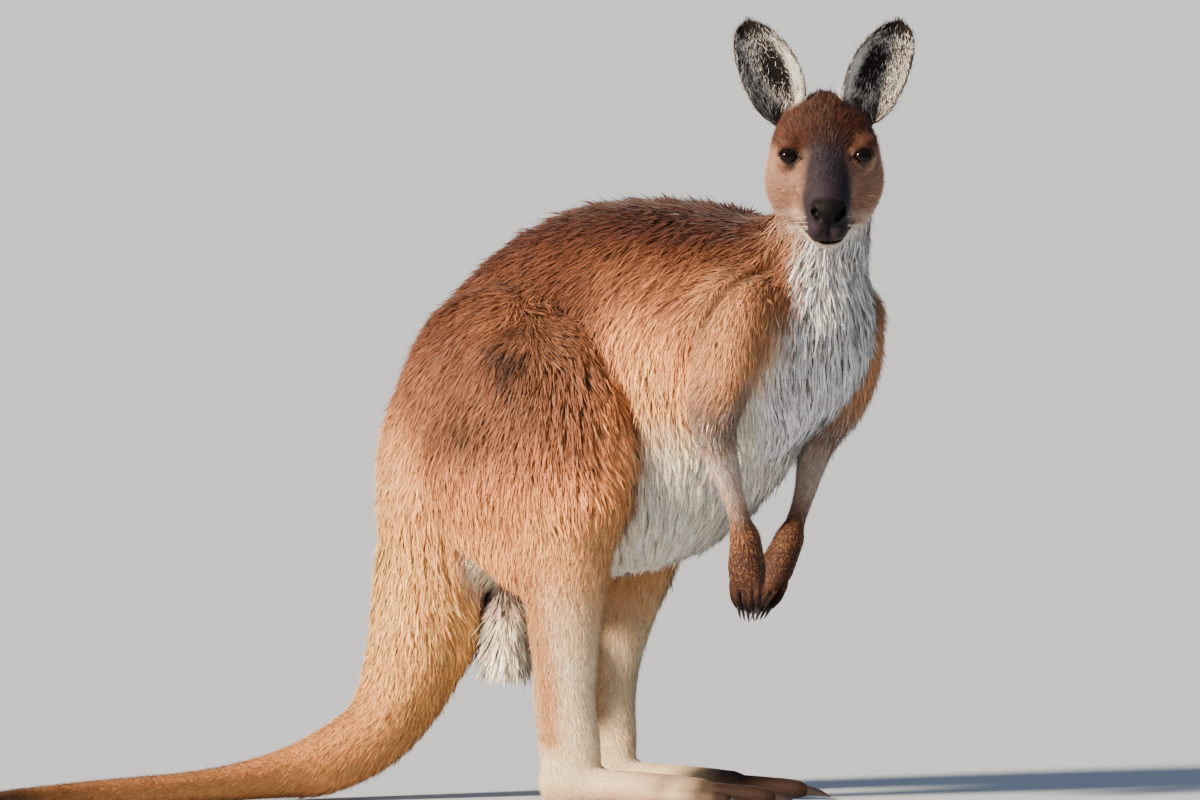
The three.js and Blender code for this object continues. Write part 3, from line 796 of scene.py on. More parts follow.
@dataclass(eq=False)
class Mesher:
    """Turns a distance into a mesh of quads: one vertex in each cell that the surface crosses."""

    body: Mass
    axes: list[Array]  # the grid's places along X, Y and Z
    block: int = 4  # cells to a side of the coarse grid's cells
    batch: int = 200000  # points measured at once
    rounds: int = 3  # of moving the vertices onto the skin

    def __post_init__(self) -> None:
        """Lengthens each axis to a whole number of blocks."""
        more = [np.arange(1, 1 + -(len(a) - 1) % self.block) for a in self.axes]
        self.axes = [np.concatenate([a, a[-1] + (a[-1] - a[-2]) * m]) for a, m in zip(self.axes, more)]

    def make(self) -> tuple[Array, Array]:
        """Returns the vertices and the quads."""
        values = self._values()
        inside = values < 0
        crossed = sum(inside[i : inside.shape[0] - 1 + i, j : inside.shape[1] - 1 + j, k : inside.shape[2] - 1 + k]
                      .astype(np.int8) for i, j, k in np.ndindex(2, 2, 2))
        cells = np.argwhere((crossed > 0) & (crossed < 8))
        number = np.full(crossed.shape, -1, np.int64)
        number[tuple(cells.T)] = np.arange(len(cells))
        points = self._middles(values, cells)
        for _ in range(self.rounds):
            points = self._settle(points)
        return points, self._quads(inside, number)

    def _values(self) -> Array:
        """Returns the distance at each point of the grid, worked out in full only near the skin."""
        coarse = [a[:: self.block] for a in self.axes]
        grid = np.stack(np.meshgrid(*coarse, indexing="ij"), -1)
        rough = self.body.distance(grid.reshape(-1, 3)).reshape(grid.shape[:3]).astype(np.float32)
        steps = [np.diff(a) for a in coarse]
        diagonal = np.sqrt(steps[0][:, None, None] ** 2 + steps[1][None, :, None] ** 2 + steps[2][None, None] ** 2)
        nearest = np.full(diagonal.shape, np.inf, np.float32)
        for i, j, k in np.ndindex(2, 2, 2):
            corner = rough[i : i + diagonal.shape[0], j : j + diagonal.shape[1], k : k + diagonal.shape[2]]
            nearest = np.minimum(nearest, np.abs(corner))
        active = np.argwhere(nearest < diagonal * 0.8 + 4)
        values = np.kron(rough[:-1, :-1, :-1], np.ones((self.block,) * 3, np.float32))
        values = np.pad(values, [(0, 1)] * 3, mode="edge")
        offsets = np.array(list(np.ndindex(*(self.block + 1,) * 3)))
        index = (active[:, None] * self.block + offsets[None]).reshape(-1, 3)
        flat = np.unique(np.ravel_multi_index(index.T, values.shape))
        index = np.stack(np.unravel_index(flat, values.shape), 1)
        where = np.stack([self.axes[a][index[:, a]] for a in range(3)], 1)
        found = np.concatenate([self.body.distance(part) for part in
                                np.array_split(where, len(where) // self.batch + 1)])
        values.ravel()[flat] = found
        log.info("field: %d of %d points", len(flat), values.size)
        return values

    def _middles(self, values: Array, cells: Array) -> Array:
        """Finds a first place for each vertex.

        Args:
            values: the distances over the grid.
            cells: the cells that the skin crosses.

        Returns:
            The mean of the places where the skin cuts each cell's edges.
        """
        total, count = np.zeros((len(cells), 3)), np.zeros(len(cells))
        for axis in range(3):
            others = [a for a in range(3) if a != axis]
            for i, j in np.ndindex(2, 2):
                low = cells.copy()
                low[:, others[0]] += i
                low[:, others[1]] += j
                high = low.copy()
                high[:, axis] += 1
                a, b = values[tuple(low.T)], values[tuple(high.T)]
                cut = (a < 0) != (b < 0)
                t = np.where(cut, a / np.where(cut, a - b, 1), 0)
                at = np.stack([self.axes[c][low[:, c]] for c in range(3)], 1)
                at[:, axis] += t * (self.axes[axis][high[:, axis]] - at[:, axis])
                total += at * cut[:, None]
                count += cut
        return total / count[:, None]

    def gradient(self, p: Array, step: float = 0.3) -> tuple[Array, Array]:
        """Returns the distance and its slope at points."""
        here = self.body.distance(p)
        slope = np.stack([(self.body.distance(p + np.eye(3)[a] * step) - here) / step for a in range(3)], 1)
        return here, slope

    def _settle(self, p: Array) -> Array:
        """Returns vertices moved along the slope onto the skin."""
        here, slope = self.gradient(p)
        step = here / np.maximum(dot(slope, slope), 0.25)
        return p - slope * np.clip(step, -1.5, 1.5)[:, None]

    @staticmethod
    def _quads(inside: Array, number: Array) -> Array:
        """Joins the vertices.

        Args:
            inside: which points of the grid lie inside the skin.
            number: each cell's vertex, or -1.

        Returns:
            A quad round each edge that the skin cuts, facing outward.
        """
        quads = []
        for axis in range(3):
            u, v = (axis + 1) % 3, (axis + 2) % 3
            ahead = [slice(None)] * 3
            behind = [slice(None)] * 3
            ahead[axis], behind[axis] = slice(1, None), slice(None, -1)
            a, b = inside[tuple(behind)], inside[tuple(ahead)]
            edges = np.argwhere(a != b)
            edges = edges[(edges[:, u] > 0) & (edges[:, v] > 0)]
            edges = edges[(edges[:, u] < number.shape[u]) & (edges[:, v] < number.shape[v])]
            corners = []
            for du, dv in ((1, 1), (0, 1), (0, 0), (1, 0)):
                c = edges.copy()
                c[:, u] -= du
                c[:, v] -= dv
                corners.append(number[tuple(c.T)])
            quad = np.stack(corners, 1)
            outward = a[tuple(edges.T)]
            quad[~outward] = quad[~outward][:, ::-1]
            quads.append(quad)
        made = np.concatenate(quads)
        return made[(made >= 0).all(1)]


# ---- colours
def linear(code: str) -> Array:
    """Returns an sRGB hex colour as linear light."""
    c = np.array([int(code[i : i + 2], 16) for i in (1, 3, 5)]) / 255
    return np.where(c <= 0.04045, c / 12.92, ((c + 0.055) / 1.055) ** 2.4)


class Tint(Enum):
    """The coat's colours."""

    BACK = "#4E2616"
    TAWNY = "#9E6340"
    FLANK = "#FEAD6F"
    SAND = "#FCA664"
    BELLY = "#FFEED8"
    CHEST = "#FDFBF8"
    GRIZZLE = "#6E625E"
    THIGH = "#3A1E10"
    SHIN = "#FFDCB4"
    HEEL = "#C58B56"
    TOE = "#33211A"
    ARM = "#CE9163"
    ELBOW = "#7C6254"
    FOREARM = "#CDB4A4"
    WRIST = "#643F2D"
    HAND = "#43291F"
    FOREHEAD = "#421E0B"
    CROWN = "#3A2014"
    MUZZLE = "#2B2229"
    CHEEK = "#97705A"
    JAW = "#D8C4B0"
    BROW = "#6A4434"
    EYELID = "#1E1411"
    NOSE = "#0D0808"
    # near black inside the nostrils, painted shade in their depth
    NOSTRIL = "#0D0A0A"
    EAR_BACK = "#6B5346"
    EAR_INSIDE = "#57504A"
    EAR_FRINGE = "#F0EAE2"
    # near black, painted shade deep in the ear's cup
    EAR_HOLLOW_SHADE = "#140D0A"
    EAR_TIP = "#2A1D17"
    TAIL = "#FFB16A"
    TAIL_TIP = "#3E281E"
    FINGER = "#1D1310"
    NECK = "#AB7757"
    SCROTUM = "#FFE6CA"


def evenly(tint: Tint, points: Array) -> Array:
    """Returns one colour for each point."""
    return np.tile(linear(tint.value), (len(points), 1))


def mix(a: Array, tint: Tint | Array, share: Array) -> Array:
    """Returns colours moved toward a tint by a share."""
    b = linear(tint.value) if isinstance(tint, Tint) else tint
    return a + (b - a) * np.clip(share, 0.0, 1.0)[:, None]


@dataclass(frozen=True)
class Guide:
    """What the coat needs to know at points on the skin."""

    at: Array
    normal: Array
    flow: Array  # the way the hair runs
    coat: Array  # its depth
    part: Array  # the number of the nearest region
    weight: Array  # each region's share
    colour: Array
    spot: Array  # the place on the unwrapped skin


class Pelt(Enum):
    """The kinds of hair, each with a name of its own."""

    TAWNY = "coat_tawny"
    FACE = "coat_face"
    PALE = "coat_pale"
    GREY = "coat_grey"
    DARK = "coat_dark"
    CREAM = "coat_cream"


# how far the hair of each region hangs down from its own line
SAG = {Part.TRUNK: 1.4, Part.THIGH: 0.25, Part.NECK: 0.8, Part.TAIL: 0.45}


@dataclass(eq=False)
class Coat:
    """Works out the lie, the depth and the colours of the coat."""

    body: Body
    noise: Noise = field(default_factory=lambda: Noise(SEED))
    soft: float = 7.0  # how far the masses' hair runs into each other's
    whorl: tuple[float, float] = (-24.0, 530.0)  # where the hair of a thigh parts, along and up

    def guide(self, p: Array, normal: Array) -> Guide:
        """Works out the coat on the skin.

        Args:
            p: points on it.
            normal: their outward normals.

        Returns:
            The guide at those points.
        """
        n, parts = len(p), len(Part)
        leaves = list(self.body.leaves(p))
        distances = np.stack([mass.distance(q) for mass, q, _ in leaves], 1)
        least = distances.min(1)
        flow, coat, weight = np.zeros((n, 3)), np.zeros(n), np.zeros((n, parts))
        along, best = np.zeros((n, parts)), np.full((n, parts), -1.0)
        for (mass, q, back), d in zip(leaves, distances.T):
            share = np.exp(-(d - least) / self.soft)
            near = share > 0.01
            if not near.any():
                continue
            way, t, deep = mass.lie(q[near])
            s, k = share[near], mass.part.value
            way = back(way) + np.array([0, 0, -1.0]) * SAG.get(mass.part, 0.0)
            way = self._turned(mass.part, p[near], way)
            flow[near] += way * s[:, None]
            coat[near] += deep * s
            weight[near, k] += s
            stronger = s > best[near, k]
            at = np.flatnonzero(near)[stronger]
            along[at, k], best[at, k] = t[stronger], s[stronger]
        total = weight.sum(1, keepdims=True)
        weight = weight / total
        coat = coat / total[:, 0]
        flow = self._comb(p, normal, flow, weight)
        colour = self.paint(p, normal, weight, along)
        return Guide(p, normal, flow, coat, weight.argmax(1), weight, colour, unwrap(self.body, p))

    def _turned(self, part: Part, p: Array, way: Array) -> Array:
        """Turns the hair where it leaves its mass's own line: whorl, root of the tail, flanks.

        Args:
            part: the region that the mass carries.
            p: points.
            way: the way its hair runs there.

        Returns:
            The way that the hair runs instead.
        """
        if part is Part.THIGH:
            away = p[:, [0, 2]] - self.whorl
            out = unit(away) * ramp(np.linalg.norm(away, axis=1), 0, 30)[:, None]
            fan = np.stack([0.75 * out[:, 0] + 0.1, np.zeros(len(out)), 0.75 * out[:, 1] - 0.8], 1)
            stir = np.stack([self.noise(p + 31 * a, 26.0) for a in range(3)], 1)
            near = bell(np.linalg.norm(away, axis=1), 0, 60)
            way = 0.15 * way + fan + stir * (0.9 * near)[:, None]
        if part is Part.TAIL:
            fore = ramp(p[:, 0], -190, -145) * ramp(p[:, 2], 150, 200)
            way = way + fore[:, None] * np.array([0.7, 0, -0.5])
        if part is Part.TRUNK:
            low = ramp(p[:, 2], 600, 470) * ramp(p[:, 0], -60, 30)
            way = way + low[:, None] * np.array([0.95, -0.2, -1.6])
        return way

    def _comb(self, p: Array, normal: Array, flow: Array, weight: Array) -> Array:
        """Returns the hair's directions, stirred a little (least on the head) and laid along the skin."""
        stir = np.stack([self.noise(p + 90 * a, 55.0) for a in range(3)], 1)
        stir += 0.5 * np.stack([self.noise(p + 70 * a, 22.0) for a in range(3)], 1)
        flow = unit(flow) + 0.28 * stir * (1 - 0.7 * weight[:, Part.HEAD.value])[:, None]
        flow = flow - normal * dot(flow, normal)[:, None]
        return unit(flow)

    def paint(self, p: Array, n: Array, weight: Array, along: Array) -> Array:
        """Colours the coat.

        Args:
            p: points on the skin.
            n: their outward normals.
            weight: each region's share.
            along: the share of the way along each region.

        Returns:
            Linear colours.
        """
        mottle = self.noise(p, 46.0) * 0.6 + self.noise(p, 15.0) * 0.4
        w = {part: weight[:, part.value] for part in Part}
        t = {part: along[:, part.value] for part in Part}
        white = self.chest(p, mottle)
        crease_shade = Body.crease(p) * 0.75  # painted shade along the crease behind each shoulder
        foot = mix(evenly(Tint.SHIN, p), Tint.HEEL, ramp(n[:, 2], 0.3, -0.5) * 0.4)
        foot = mix(foot, Tint.WRIST, ramp(p[:, 0] + 60 * mottle, 70, 150) * 0.4)
        shades = {
            Part.TRUNK: self._trunk(p, n, mottle, white, crease_shade),
            Part.NECK: self._neck(n, mottle, white),
            Part.TAIL: self._tail(n, mottle, t[Part.TAIL]),
            Part.THIGH: self._thigh(p, n, mottle),
            Part.SHIN: self._shin(p, n, mottle),
            Part.FOOT: mix(foot, Tint.TOE, ramp(p[:, 0] + 24 * mottle, 88, 165)),
            Part.ARM: self._arm(t[Part.ARM] + 0.03 * mottle, white, crease_shade),
            Part.HAND: mix(evenly(Tint.HAND, p), Tint.FINGER, ramp(p[:, 2] + 4 * mottle, 247, 228)),
            Part.SCROTUM: mix(evenly(Tint.SCROTUM, p), Tint.SAND,
                              ramp(p[:, 2] + 16 * mottle, 195, 245) * 0.8),
        }
        made = sum(shade * w[part][:, None] for part, shade in shades.items())
        under = ramp(p[:, 2], 350, 325) * ramp(p[:, 2], 150, 190) * ramp(np.abs(p[:, 1]), 82, 58)
        under = under * ramp(p[:, 0], -146, -128) * ramp(p[:, 0], -38, -60) * (1 - w[Part.SHIN])
        made = mix(made, Tint.SCROTUM, under * 0.8)
        # a grey-brown band where the scrotum meets the body, painted shade of the crease there
        made = mix(made, Tint.GRIZZLE, under * bump(p[:, 2] + 9 * mottle, 242, 26) * 0.9)
        q = self.body.head.local(p)
        made += self.face(q, mottle) * w[Part.HEAD][:, None]
        made += self.ears(q, n @ HEAD_PLACE[1], mottle) * w[Part.EAR][:, None]
        return np.clip(made, 0.002, 1.0)

    @staticmethod
    def _trunk(p: Array, n: Array, mottle: Array, white: Array, crease_shade: Array) -> Array:
        """Returns the trunk's colours: dark along the back, bright on the flank, pale below."""
        up, z = n[:, 2] + 0.12 * mottle, p[:, 2] + 16 * mottle
        tint = mix(evenly(Tint.TAWNY, p), Tint.FLANK, ramp(z, 610, 490) * ramp(up, 0.5, 0.05))
        haunch = ramp(p[:, 0], 90, 10)  # the dark of the back comes lower over the haunches
        tint = mix(tint, Tint.BACK, np.maximum(ramp(up, 0.2, 0.82) * ramp(z, 520, 640),
                                               haunch * ramp(z, 430, 560) * 0.8))
        pale = np.interp(p[:, 0], (150, 215), (425, 495))  # the belly's pale hair climbs toward the chest
        tint = mix(tint, Tint.BELLY, ramp(z, pale + 37, pale - 37) * ramp(p[:, 0], -60, -10))
        tint = mix(tint, Tint.SAND, ramp(z, 380, 330) * ramp(p[:, 0], -10, -60))
        # the crease behind the shoulder is darkened toward the thigh's brown as painted shade
        return mix(mix(tint, Tint.CHEST, white), Tint.THIGH, crease_shade)

    @staticmethod
    def _neck(n: Array, mottle: Array, white: Array) -> Array:
        """Returns the neck's colours: dark above, white at the throat."""
        dark = ramp(n[:, 2] + 0.12 * mottle, 0.25, 0.75) * 0.9
        return mix(mix(evenly(Tint.NECK, n), Tint.BACK, dark), Tint.CHEST, white)

    @staticmethod
    def _tail(n: Array, mottle: Array, t: Array) -> Array:
        """Returns the tail's colours: pale below, dark above, darkest at the tip."""
        up = n[:, 2] + 0.12 * mottle
        tint = mix(evenly(Tint.TAIL, n), Tint.SAND, ramp(up, -0.1, -0.7) * 0.8)
        tint = mix(tint, Tint.TAWNY, ramp(t + 0.1 * mottle, 0.15, 0.5) * 0.25)
        tint = mix(tint, Tint.BACK, ramp(up, 0.6, 0.95) * ramp(t, 0.4, 0.6) * 0.3)
        return mix(tint, Tint.TAIL_TIP, ramp(t + 0.06 * mottle, 0.66, 0.97))

    def _thigh(self, p: Array, n: Array, mottle: Array) -> Array:
        """Returns the thighs' colours: dark patches behind the whorl, sandy toward the knee."""
        z = p[:, 2] + 16 * mottle
        dark = bell(p[:, 0], -40, 62) * bell(p[:, 2], 505, 58)
        dark = np.maximum(dark, 0.7 * bell(p[:, 0], -110, 60) * bell(p[:, 2], 430, 45))
        dark = dark * (0.55 + 0.5 * self.noise(p, 18.0)) + 0.19 + 0.25 * mottle
        tint = mix(evenly(Tint.TAWNY, p), Tint.THIGH, dark * ramp(z, 370, 430))
        tint = mix(tint, Tint.BACK, ramp(n[:, 0] - 0.4 * n[:, 2], -0.1, -0.8) * ramp(z, 400, 520) * 0.6)
        tint = mix(tint, Tint.SAND, ramp(z, 440, 310) * (0.85 + 0.3 * mottle))
        tint = mix(tint, Tint.SAND, ramp(p[:, 0], 38, 68) * 0.55)
        return mix(tint, Tint.BELLY, ramp(np.abs(p[:, 1]), 70, 40) * ramp(z, 460, 400))

    @staticmethod
    def _shin(p: Array, n: Array, mottle: Array) -> Array:
        """Returns the shins' colours: pale, with a brown strip before the heel's tendon."""
        z = p[:, 2] + 16 * mottle
        strip = np.interp(p[:, 2], (40, 108, 194, 250, 300), (-22, -25, -28, -37, -42))
        tint = mix(evenly(Tint.SHIN, p), Tint.SAND, ramp(z, 150, 290) * 0.9)
        tint = mix(tint, Tint.HEEL, bump(p[:, 0] + 3 * mottle, strip, 30) * ramp(z, 40, 80) * 0.95)
        return mix(tint, Tint.HEEL, ramp(n[:, 0], -0.6, -0.95) * 0.35)

    @staticmethod
    def _arm(t: Array, white: Array, crease_shade: Array) -> Array:
        """Returns the arms' colours, which darken from a pale forearm to the wrist."""
        tint = mix(evenly(Tint.ARM, t), Tint.ELBOW, bump(t, 0.42, 0.26) * 0.95)
        tint = mix(tint, Tint.CHEST, white * ramp(t, 0.48, 0.34) * 0.55)
        # the crease behind the shoulder is darkened toward the thigh's brown as painted shade
        tint = mix(mix(tint, Tint.THIGH, crease_shade), Tint.FOREARM, ramp(t, 0.44, 0.58))
        return mix(mix(tint, Tint.WRIST, ramp(t, 0.66, 0.86)), Tint.HAND, ramp(t, 0.86, 0.98))

    @staticmethod
    def chest(p: Array, mottle: Array) -> Array:
        """Marks the bib, which narrows at the neck's root.

        Args:
            p: points.
            mottle: slow random values at them.

        Returns:
            How white the hair is, from 0 to 1.
        """
        z = p[:, 2]
        heights, line = (540, 578, 650, 706), ((228, 250, 290, 297), (-60, -68, -87, -102))
        middle = [np.interp(z, heights, stops) for stops in line]
        facing = np.interp(z, (525, 580, 630, 690), (-25, -30, -37, -45))
        turn = np.degrees(np.arctan2(p[:, 1] - middle[1], p[:, 0] - middle[0])) - facing
        turn = np.abs((turn + 180) % 360 - 180) + 8 * mottle
        reach = np.interp(z, (425, 469, 525, 580, 630, 690), (66, 60, 43, 43, 50, 48))
        return ramp(turn, reach + 8, reach - 8) * ramp(p[:, 0], 90, 150) * ramp(z, 712, 685)

    def face(self, q: Array, mottle: Array) -> Array:
        """Colours the head.

        Args:
            q: points in the head's frame.
            mottle: slow random values at them.

        Returns:
            Linear colours.
        """
        x, y, z = q.T
        side = np.abs(y)
        tint = evenly(Tint.CHEEK, q)
        tint = mix(tint, Tint.FOREHEAD, ramp(z + 2 * mottle, 0, 14))
        band = np.interp(x, (10, 45, 80), (20, 26, 30)) + 3 * mottle  # the dark of the muzzle widens forward
        tint = mix(tint, Tint.MUZZLE, ramp(side, band + 8, band - 9) * ramp(z, -72, -60) * ramp(x, 2, 36))
        tint = mix(tint, Tint.CROWN, np.maximum(ramp(z, 32, 58), ramp(side, 16, 4) * ramp(z, 14, 30)) * 0.7)
        tint = mix(tint, Tint.BROW, bump(z, 21, 10) * bump(side, 44, 20) * ramp(x, -16, 0) * 0.55)
        tint = mix(tint, Tint.JAW, bump(z + 0.4 * side + 4 * mottle, -48, 9) * ramp(x, 66, 46) * 0.3)
        tint = mix(tint, Tint.JAW, ramp(z + 0.1 * (95 - x) + 3 * mottle, -62, -72) * ramp(x, 80, 56))
        tint = mix(tint, Tint.JAW, ramp(z - mouth_line(x, y), -1, -5) * ramp(x, 50, 60))
        tint = mix(tint, Tint.MUZZLE, ramp(x, 66, 88) * ramp(z - mouth_line(x, y), -2, 1) * 0.9)
        tint = mix(tint, Tint.NOSE, nose_pad(q))
        # the line between the lips is painted dark: dark lip skin, with painted shade in the line itself
        lip = np.abs(z - mouth_line(x, y) + 0.4)
        tint = mix(tint, Tint.EYELID, ramp(lip, 3.4, 1.6) * ramp(x, 36, 50))
        for o in self.body.head.openings:
            turn, height, away = o.angles(q)
            edge = o.gap(q)
            tint = mix(tint, Tint.EYELID, ramp(edge + 0.5 * mottle, 4.8, 1.3) * ramp(away, 30, 22))
            pouch = bell(turn, -0.15, 0.75) * bell(height, -0.75, 0.32) * ramp(away, 30, 22)
            tint = mix(tint, Tint.MUZZLE, pouch * 0.72)
            # the nostrils are painted near black inside, as painted shade in their depth
            tint = mix(tint, Tint.NOSTRIL, ramp(nostril(q, o.side), 1.4, 0.2))
        return tint

    def ears(self, q: Array, m: Array, mottle: Array) -> Array:
        """Colours the ears.

        Args:
            q: points in the head's frame.
            m: their normals in that frame.
            mottle: slow random values at them.

        Returns:
            Linear colours.
        """
        tint = evenly(Tint.EAR_BACK, q)
        for ear in (mass for mass in self.body.head.masses if isinstance(mass, Ear)):
            mine = (q[:, 1] * ear.side) > 0
            s, t, inner, _ = ear.sheet(q)
            medial = t * ear.side  # one on the edge next the midline
            within = mine & ((dot(m, ear.front) > 0.1) | (inner > 0.4))
            inside = evenly(Tint.EAR_INSIDE, q)
            # the middle of the ear's hollow is painted near black, as painted shade deep in the cup
            inside = mix(inside, Tint.EAR_HOLLOW_SHADE, ear.hollow(s, medial))
            inside = mix(inside, Tint.EAR_FRINGE, bump(medial, 0.78, 0.34) * ramp(s, 0.8, 0.5) * 1.5)
            inside = mix(inside, Tint.EAR_FRINGE, ramp(medial, -0.75, -0.92) * ramp(s, 0.7, 0.4) * 0.5)
            inside = mix(inside, Tint.EAR_TIP, ramp(np.abs(medial), 0.90, 0.98) * 0.9)
            inside = mix(inside, Tint.EAR_TIP, ramp(s + 0.04 * mottle + 0.06 * np.abs(medial), 0.78, 0.95))
            tint[within] = inside[within]
            tint[mine & ~within] = mix(tint, Tint.EAR_TIP, ramp(s, 0.7, 0.95) * 0.8)[mine & ~within]
        return tint


def nose_pad(q: Array) -> Array:
    """Returns how much of points in the head's frame is the bare pad of the nose."""
    x, y, z = q.T
    low = -52 + 0.045 * y * y  # it narrows down to the groove of the lip
    return ramp(x, 95, 102) * ramp(z, low - 2, low + 3) * ramp(np.abs(y), 22.5, 17.5) * ramp(z, -18, -26)


# ---- making meshes
@dataclass(frozen=True)
class Shift:
    """Takes the animal's frame in millimetres to the part's frame in metres."""

    by: tuple[float, float, float]

    @classmethod
    def found(cls) -> "Shift":
        """Returns the shift that brings the left eye onto its solid."""
        low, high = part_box("eye_left")
        there = (np.array(low) + np.array(high)) / 2
        here = (HEAD_PLACE[0] + HEAD_PLACE[1] @ np.array(EYE_AT)) / 1000
        return cls(tuple(there - here))

    def __call__(self, p: Array) -> Array:
        """Returns points in the part's frame."""
        return np.asarray(p, float) / 1000 + np.array(self.by)


def colour_points(mesh: bpy.types.Mesh, colours: Array) -> None:
    """Writes linear colours to a mesh's points, where the finishes read them."""
    rgba = np.concatenate([colours, np.ones((len(colours), 1))], 1).astype(np.float32)
    mesh.color_attributes.new("coat", "FLOAT_COLOR", "POINT").data.foreach_set("color", rgba.ravel())


def to_mesh(name: str, points: Array, faces: Array, colours: Array | None = None, uv: Array | None = None,
            normals: Array | None = None, closed: bool = False) -> bpy.types.Object:
    """Makes an object from arrays.

    Args:
        name: the object's name.
        points: vertices in metres.
        faces: vertex numbers, the same count to each face.
        colours: linear colours, one to a vertex.
        uv: places on the baking map, one to a vertex.
        normals: the normals to shade with, one to a vertex, where the faces' own are too sharp.
        closed: joins vertices that meet, so that poles and tips are closed.

    Returns:
        The new object, at the origin.
    """
    mesh = bpy.data.meshes.new(name)
    sides = faces.shape[1]
    mesh.vertices.add(len(points))
    mesh.vertices.foreach_set("co", np.asarray(points, np.float32).ravel())
    mesh.loops.add(faces.size)
    mesh.loops.foreach_set("vertex_index", np.asarray(faces, np.int32).ravel())
    mesh.polygons.add(len(faces))
    mesh.polygons.foreach_set("loop_start", np.arange(0, faces.size, sides, dtype=np.int32))
    mesh.polygons.foreach_set("use_smooth", np.ones(len(faces), bool))
    mesh.update(calc_edges=True)
    if colours is not None:
        colour_points(mesh, colours)
    if uv is not None:
        layer = mesh.uv_layers.new(name=MAP)
        layer.data.foreach_set("uv", np.asarray(uv[faces.ravel()], np.float32).ravel())
    if normals is not None:
        mesh.normals_split_custom_set_from_vertices(normals)
    if closed:
        form = bmesh.new()
        form.from_mesh(mesh)
        bmesh.ops.remove_doubles(form, verts=form.verts, dist=1e-6)
        bmesh.ops.recalc_face_normals(form, faces=form.faces)
        form.to_mesh(mesh)
        form.free()
    thing = bpy.data.objects.new(name, mesh)
    bpy.context.scene.collection.objects.link(thing)
    return thing


class Shape(Enum):
    """The shapes of a tuft, by its triangles."""

    SPIKE = 4
    LOCK = 10

    @property
    def faces(self) -> Array:
        """The triangles of one tuft: a ring of three at the root, then more rings, then the tip."""
        rings = 1 if self is Shape.SPIKE else 2
        made = [(0, 1, 2)]
        for i, j in ((0, 1), (1, 2), (2, 0)):
            for k in range(0, 3 * rings - 3, 3):
                made += [(k + j, k + i, k + 3 + i), (k + j, k + 3 + i, k + 3 + j)]
            made.append((3 * rings - 3 + j, 3 * rings - 3 + i, 3 * rings))
        return np.array(made)


@dataclass(frozen=True)
class Nap:
    """The coat's measures, in millimetres and shares."""

    spacing: float = 1.02  # between tufts where the coat has no depth
    wider: float = 0.088  # added to the spacing by each millimetre of depth
    tries: float = 2.4  # roots drawn for each place, of which one is kept
    body: float = 0.155  # the share by which the body's tufts stand further apart than the head's
    low: float = 0.28  # the same share on shins and feet
    long: float = 2.3  # a tuft's length over the coat's depth
    thin: float = 0.055  # its width over its length
    least: float = 0.57  # its least width
    locks: float = 0.16  # the share of tufts that are bent locks, in the shaggiest coat


